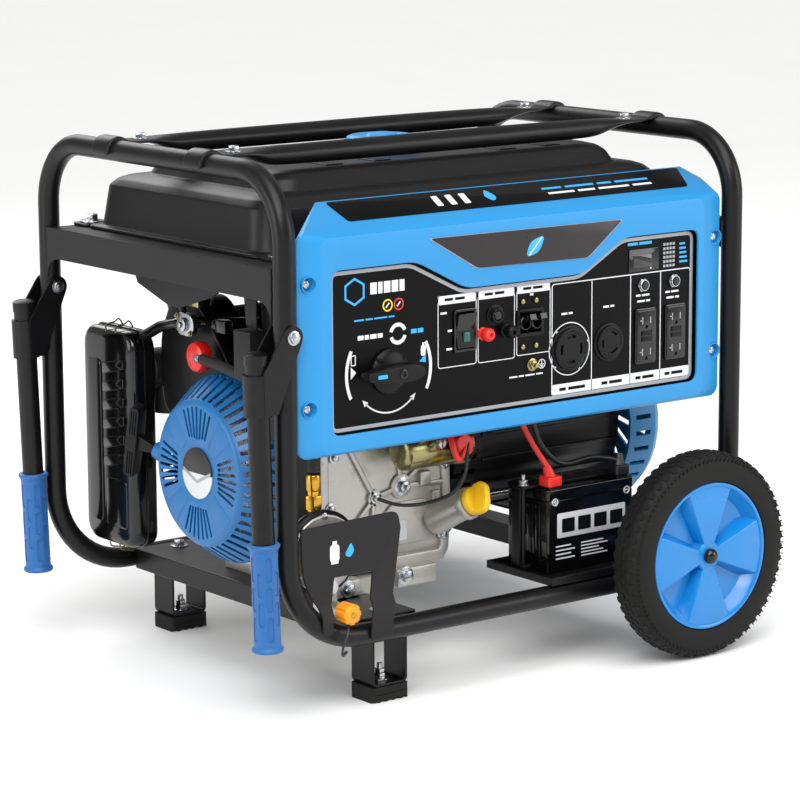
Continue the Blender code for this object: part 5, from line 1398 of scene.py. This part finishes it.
def make_gas_inlet():
    refined("lpg_plate", "sheet_coat", ease=0.8, segments=3)
    y = -9.4
    bottle = slab(rounded((52, 92), (65, 112), 4.0, 5), "Y", y, y + 1, 0.1)
    collar = slab(bar(55.5, 112, 6, 4), "Y", y, y + 1)
    foot = slab(bar(53.5, 90, 10, 2.5), "Y", y, y + 1)
    piece("gas_bottle_mark", join(bottle, collar, foot), "white_ink")
    flame = softened([(72, 98), (80, 94), (86, 102), (81, 112), (77, 105)], 4, 4)
    piece("gas_flame_mark", slab(flame, "Y", y, y + 1), "blue_ink")
    refined("lpg_regulator", "casting", ease=1.2, segments=3)
    x, z = 64.0, 96.0
    lid = spun([(0, 0), (0, 46), (3, 49), (8, 49), (10, 46), (10, 0)], (x, 18, z), REARWARD, 72)
    piece("regulator_lid", lid, "black_moulding")
    screws = [bolt((px, 17.5, pz), FORWARD, 3.0, 1.3) for px, pz in polygon((x, z), 43, 6, 30)]
    piece("regulator_screws", join(*screws), "zinc")
    piece("regulator_plug", disc((64, 8, 58.7), FORWARD, 9.5, 4.0, 0.8, 40), "zinc")
    piece("regulator_plug_stem", rod((64, 26, 58.7), (64, 6, 58.7), 5.0), "casting")
    cx, cz = 73.0, 32.0
    body = [(-3.4, 0), (-3.4, 11.0), (-5, 11.4), (-22, 10.8), (-24, 9.4), (-25, 7.0), (-25, 0)]
    shapes = [spun(body, (cx, 0, cz), REARWARD, 56)]
    for i in range(8):
        a = math.radians(45 * i)
        px, pz = cx + 10.4 * math.cos(a), cz + 10.4 * math.sin(a)
        shapes.append(moved(block((-2.2, -22.6, -2.9), (1.6, -4.0, 2.9), 0.8, 2),
                            Matrix.Translation((px, 0, pz)) @ Matrix.Rotation(-a, 4, 'Y')))
    piece("inlet_cap_cover", join(*shapes), "orange_nylon", "gas cap", stands_for=("lpg_inlet_cap",))
    piece("inlet_cap_pin", disc((cx, -24.6, cz), FORWARD, 4.0, 1.4, 0.5, 28), "brass_turning", "gas cap")
    strap = flowing([(72, -16, 20), (66, -22, 10), (60, -22, -2), (62, -18, -14), (70, -14.5, -12)], 8)
    piece("cap_strap", tube(strap, 1.6, 3), "black_sheath")
    hx, hy = 60.0, 32.0
    foot_z = 143.5
    profile = [(0, 0), (0, 7), (4, 7), (4, 0)]
    shapes = [spun(profile, (hx, hy, foot_z), UP, 40), hexagon((hx, hy, foot_z + 2), UP, 10.2, 16, 0.9),
              spun([(0, 0), (0, 6.8), (6, 6.8), (6, 0)], (hx, hy, foot_z + 18), UP, 40),
              spun([(0, 0), (0, 7.6), (1.5, 8.4), (16, 8.4), (18, 7.8), (19, 7.0), (19, 0)],
                   (hx, hy, foot_z + 23), UP, 40)]
    piece("hose_fitting", join(*shapes), "brass_turning")
    top = 217.6
    hose = flowing([(hx, hy, foot_z + 44), (hx, hy, foot_z + 56), (hx, hy, top)], 8)
    piece("gas_hose", tube(hose, 7.0, 6), "braided_hose", stands_for=("lpg_hose",))


# ---------------------------------------------------------------- stage

def make_stage():
    floor = bmesh.new()
    bmesh.ops.create_grid(floor, x_segments=8, y_segments=8, size=60.0)
    mesh = bpy.data.meshes.new("studio_floor")
    floor.to_mesh(mesh)
    floor.free()
    sheet = bpy.data.objects.new("studio_floor", mesh)
    mesh.materials.append(studio_floor())
    bpy.context.scene.collection.objects.link(sheet)
    scene = bpy.context.scene
    world = bpy.data.worlds.new("studio")
    world.use_nodes = True
    sky = world.node_tree.nodes["Background"]
    sky.inputs["Color"].default_value = (1.0, 1.0, 1.0, 1.0)
    sky.inputs["Strength"].default_value = 0.42
    scene.world = world
    scene.view_settings.view_transform = 'Standard'
    sun = bpy.data.lights.new("overhead", 'SUN')
    sun.energy = 2.3
    sun.angle = math.radians(50)
    holder = bpy.data.objects.new("overhead", sun)
    holder.rotation_euler = (math.radians(28), math.radians(-14), 0)
    scene.collection.objects.link(holder)
    for name, place, power, size in (("key", (-2.6, -2.4, 2.6), 60, 1.6), ("fill", (2.4, -2.8, 1.4), 38, 1.8),
                                     ("rim", (0.5, 2.8, 2.4), 35, 1.8), ("side", (-3.0, 0.6, 1.0), 26, 1.4)):
        lamp = bpy.data.lights.new(name, 'AREA')
        lamp.energy = power
        lamp.size = size
        holder = bpy.data.objects.new(name, lamp)
        holder.location = place
        aim = Vector((0, 0, 0.3)) - Vector(place)
        holder.rotation_euler = aim.to_track_quat('-Z', 'Y').to_euler()
        scene.collection.objects.link(holder)
    camera = bpy.data.cameras.new("view")
    camera.lens = 141.37
    camera.sensor_width = 36.0
    camera.shift_x = camera.shift_y = -0.00066
    camera.clip_end = 300.0
    holder = bpy.data.objects.new("view", camera)
    place = (Vector((-1970.18, -2740.68, 918.05)) + CORNER) * MM
    turn = (Matrix.Rotation(math.radians(-37.847), 4, 'Z') @ Matrix.Rotation(math.radians(90 - 10.689), 4, 'X')
            @ Matrix.Rotation(math.radians(-0.269), 4, 'Z'))
    holder.matrix_world = Matrix.Translation(place) @ turn
    scene.collection.objects.link(holder)
    scene.camera = holder


# ---------------------------------------------------------------- the add-on

class GeneratorSettings(bpy.types.PropertyGroup):
    """Sizes and colours that a user would change"""
    tread_blocks: bpy.props.IntProperty(
        name="Tread Blocks", description="Blocks in each row round a tyre", default=54, min=24, max=90)
    tread_height: bpy.props.FloatProperty(
        name="Tread Height", description="How far a tread block stands above the tyre", default=1.2 * MM,
        min=0.0, max=0.003, precision=4, unit='LENGTH', subtype='DISTANCE')
    cover_colour: bpy.props.FloatVectorProperty(
        name="Cover Colour", description="Panel surround, alternator cover and filler cap", size=4,
        min=0.0, max=1.0, subtype='COLOR', default=linear("#1C88C6"))
    # The starter's colour is the cover blue darkened with painted shade.
    starter_shaded_colour: bpy.props.FloatVectorProperty(
        name="Starter Colour", description="Recoil starter's cover", size=4, min=0.0, max=1.0, subtype='COLOR',
        default=linear("#13639F"))
    rim_colour: bpy.props.FloatVectorProperty(
        name="Rim Colour", description="Wheel centres", size=4, min=0.0, max=1.0, subtype='COLOR',
        default=linear("#0A7AC2"))
    grip_colour: bpy.props.FloatVectorProperty(
        name="Grip Colour", description="Handle sleeves", size=4, min=0.0, max=1.0, subtype='COLOR',
        default=linear("#0A5899"))


class GENERATOR_OT_stage(bpy.types.Operator):
    """Floor, lights and camera"""
    bl_idname = "generator.stage"
    bl_label = "Stage"

    def execute(self, context):
        make_stage()
        return {'FINISHED'}


class GENERATOR_OT_frame(bpy.types.Operator):
    """Bent tubes, top bars, rails and cross members"""
    bl_idname = "generator.frame"
    bl_label = "Frame"

    def execute(self, context):
        make_frame()
        return {'FINISHED'}


class GENERATOR_OT_feet(bpy.types.Operator):
    """Brackets and rubber blocks"""
    bl_idname = "generator.feet"
    bl_label = "Feet"

    def execute(self, context):
        make_feet()
        return {'FINISHED'}


class GENERATOR_OT_wheels(bpy.types.Operator):
    """Tyres, rims and the axle"""
    bl_idname = "generator.wheels"
    bl_label = "Wheels"

    def execute(self, context):
        make_wheels()
        return {'FINISHED'}


class GENERATOR_OT_handles(bpy.types.Operator):
    """Folding handles with their grips and pivots"""
    bl_idname = "generator.handles"
    bl_label = "Handles"

    def execute(self, context):
        make_handles()
        return {'FINISHED'}


class GENERATOR_OT_tank(bpy.types.Operator):
    """Fuel tank, filler cap and gauge"""
    bl_idname = "generator.tank"
    bl_label = "Tank"

    def execute(self, context):
        make_tank()
        return {'FINISHED'}


class GENERATOR_OT_bezel(bpy.types.Operator):
    """The blue panel surround with its screws and badges"""
    bl_idname = "generator.bezel"
    bl_label = "Bezel"

    def execute(self, context):
        make_bezel()
        return {'FINISHED'}


class GENERATOR_OT_face(bpy.types.Operator):
    """The black face with its printed lines"""
    bl_idname = "generator.face"
    bl_label = "Panel Face"

    def execute(self, context):
        make_face()
        return {'FINISHED'}


class GENERATOR_OT_controls(bpy.types.Operator):
    """Switches, breakers, outlets and buttons"""
    bl_idname = "generator.controls"
    bl_label = "Controls"

    def execute(self, context):
        make_controls()
        return {'FINISHED'}


class GENERATOR_OT_starter(bpy.types.Operator):
    """Starter cover, grip and flywheel"""
    bl_idname = "generator.starter"
    bl_label = "Recoil Starter"

    def execute(self, context):
        make_starter()
        return {'FINISHED'}


class GENERATOR_OT_air_filter(bpy.types.Operator):
    """Filter case, clips and pipe"""
    bl_idname = "generator.air_filter"
    bl_label = "Air Filter"

    def execute(self, context):
        make_air_filter()
        return {'FINISHED'}


class GENERATOR_OT_fuel_parts(bpy.types.Operator):
    """Carburettor, valve, hoses and cable"""
    bl_idname = "generator.fuel_parts"
    bl_label = "Fuel Parts"

    def execute(self, context):
        make_fuel_parts()
        return {'FINISHED'}


class GENERATOR_OT_engine(bpy.types.Operator):
    """Castings, starter motor, dipstick and silencer"""
    bl_idname = "generator.engine"
    bl_label = "Engine"

    def execute(self, context):
        make_engine()
        return {'FINISHED'}


class GENERATOR_OT_alternator(bpy.types.Operator):
    """Housing and end cover"""
    bl_idname = "generator.alternator"
    bl_label = "Alternator"

    def execute(self, context):
        make_alternator()
        return {'FINISHED'}


class GENERATOR_OT_battery(bpy.types.Operator):
    """Case, clamp and cables"""
    bl_idname = "generator.battery"
    bl_label = "Battery"

    def execute(self, context):
        make_battery()
        return {'FINISHED'}


class GENERATOR_OT_gas_inlet(bpy.types.Operator):
    """Plate, regulator, cap and hose"""
    bl_idname = "generator.gas_inlet"
    bl_label = "Gas Inlet"

    def execute(self, context):
        make_gas_inlet()
        return {'FINISHED'}


OPERATORS = (
    GENERATOR_OT_stage, GENERATOR_OT_frame, GENERATOR_OT_feet, GENERATOR_OT_wheels,
    GENERATOR_OT_handles, GENERATOR_OT_tank, GENERATOR_OT_bezel, GENERATOR_OT_face,
    GENERATOR_OT_controls, GENERATOR_OT_starter, GENERATOR_OT_air_filter, GENERATOR_OT_fuel_parts,
    GENERATOR_OT_engine, GENERATOR_OT_alternator, GENERATOR_OT_battery, GENERATOR_OT_gas_inlet,
)


class GENERATOR_PT_pieces(bpy.types.Panel):
    """Lists the pieces that can be made"""
    bl_label = "Generator"
    bl_idname = "GENERATOR_PT_pieces"
    bl_space_type = 'VIEW_3D'
    bl_region_type = 'UI'
    bl_category = "Generator"

    def draw(self, context):
        column = self.layout.column()
        for name in GeneratorSettings.__annotations__:
            column.prop(context.scene.generator, name)
        for kind in OPERATORS:
            column.operator(kind.bl_idname)


CLASSES = (GeneratorSettings, *OPERATORS, GENERATOR_PT_pieces)


def register():
    for kind in CLASSES:
        bpy.utils.register_class(kind)
    bpy.types.Scene.generator = bpy.props.PointerProperty(type=GeneratorSettings)


def unregister():
    del bpy.types.Scene.generator
    for kind in reversed(CLASSES):
        bpy.utils.unregister_class(kind)


def main():
    register()
    for kind in OPERATORS:
        getattr(bpy.ops.generator, kind.bl_idname.split(".")[1])()


if __name__ == "__main__":
    main()
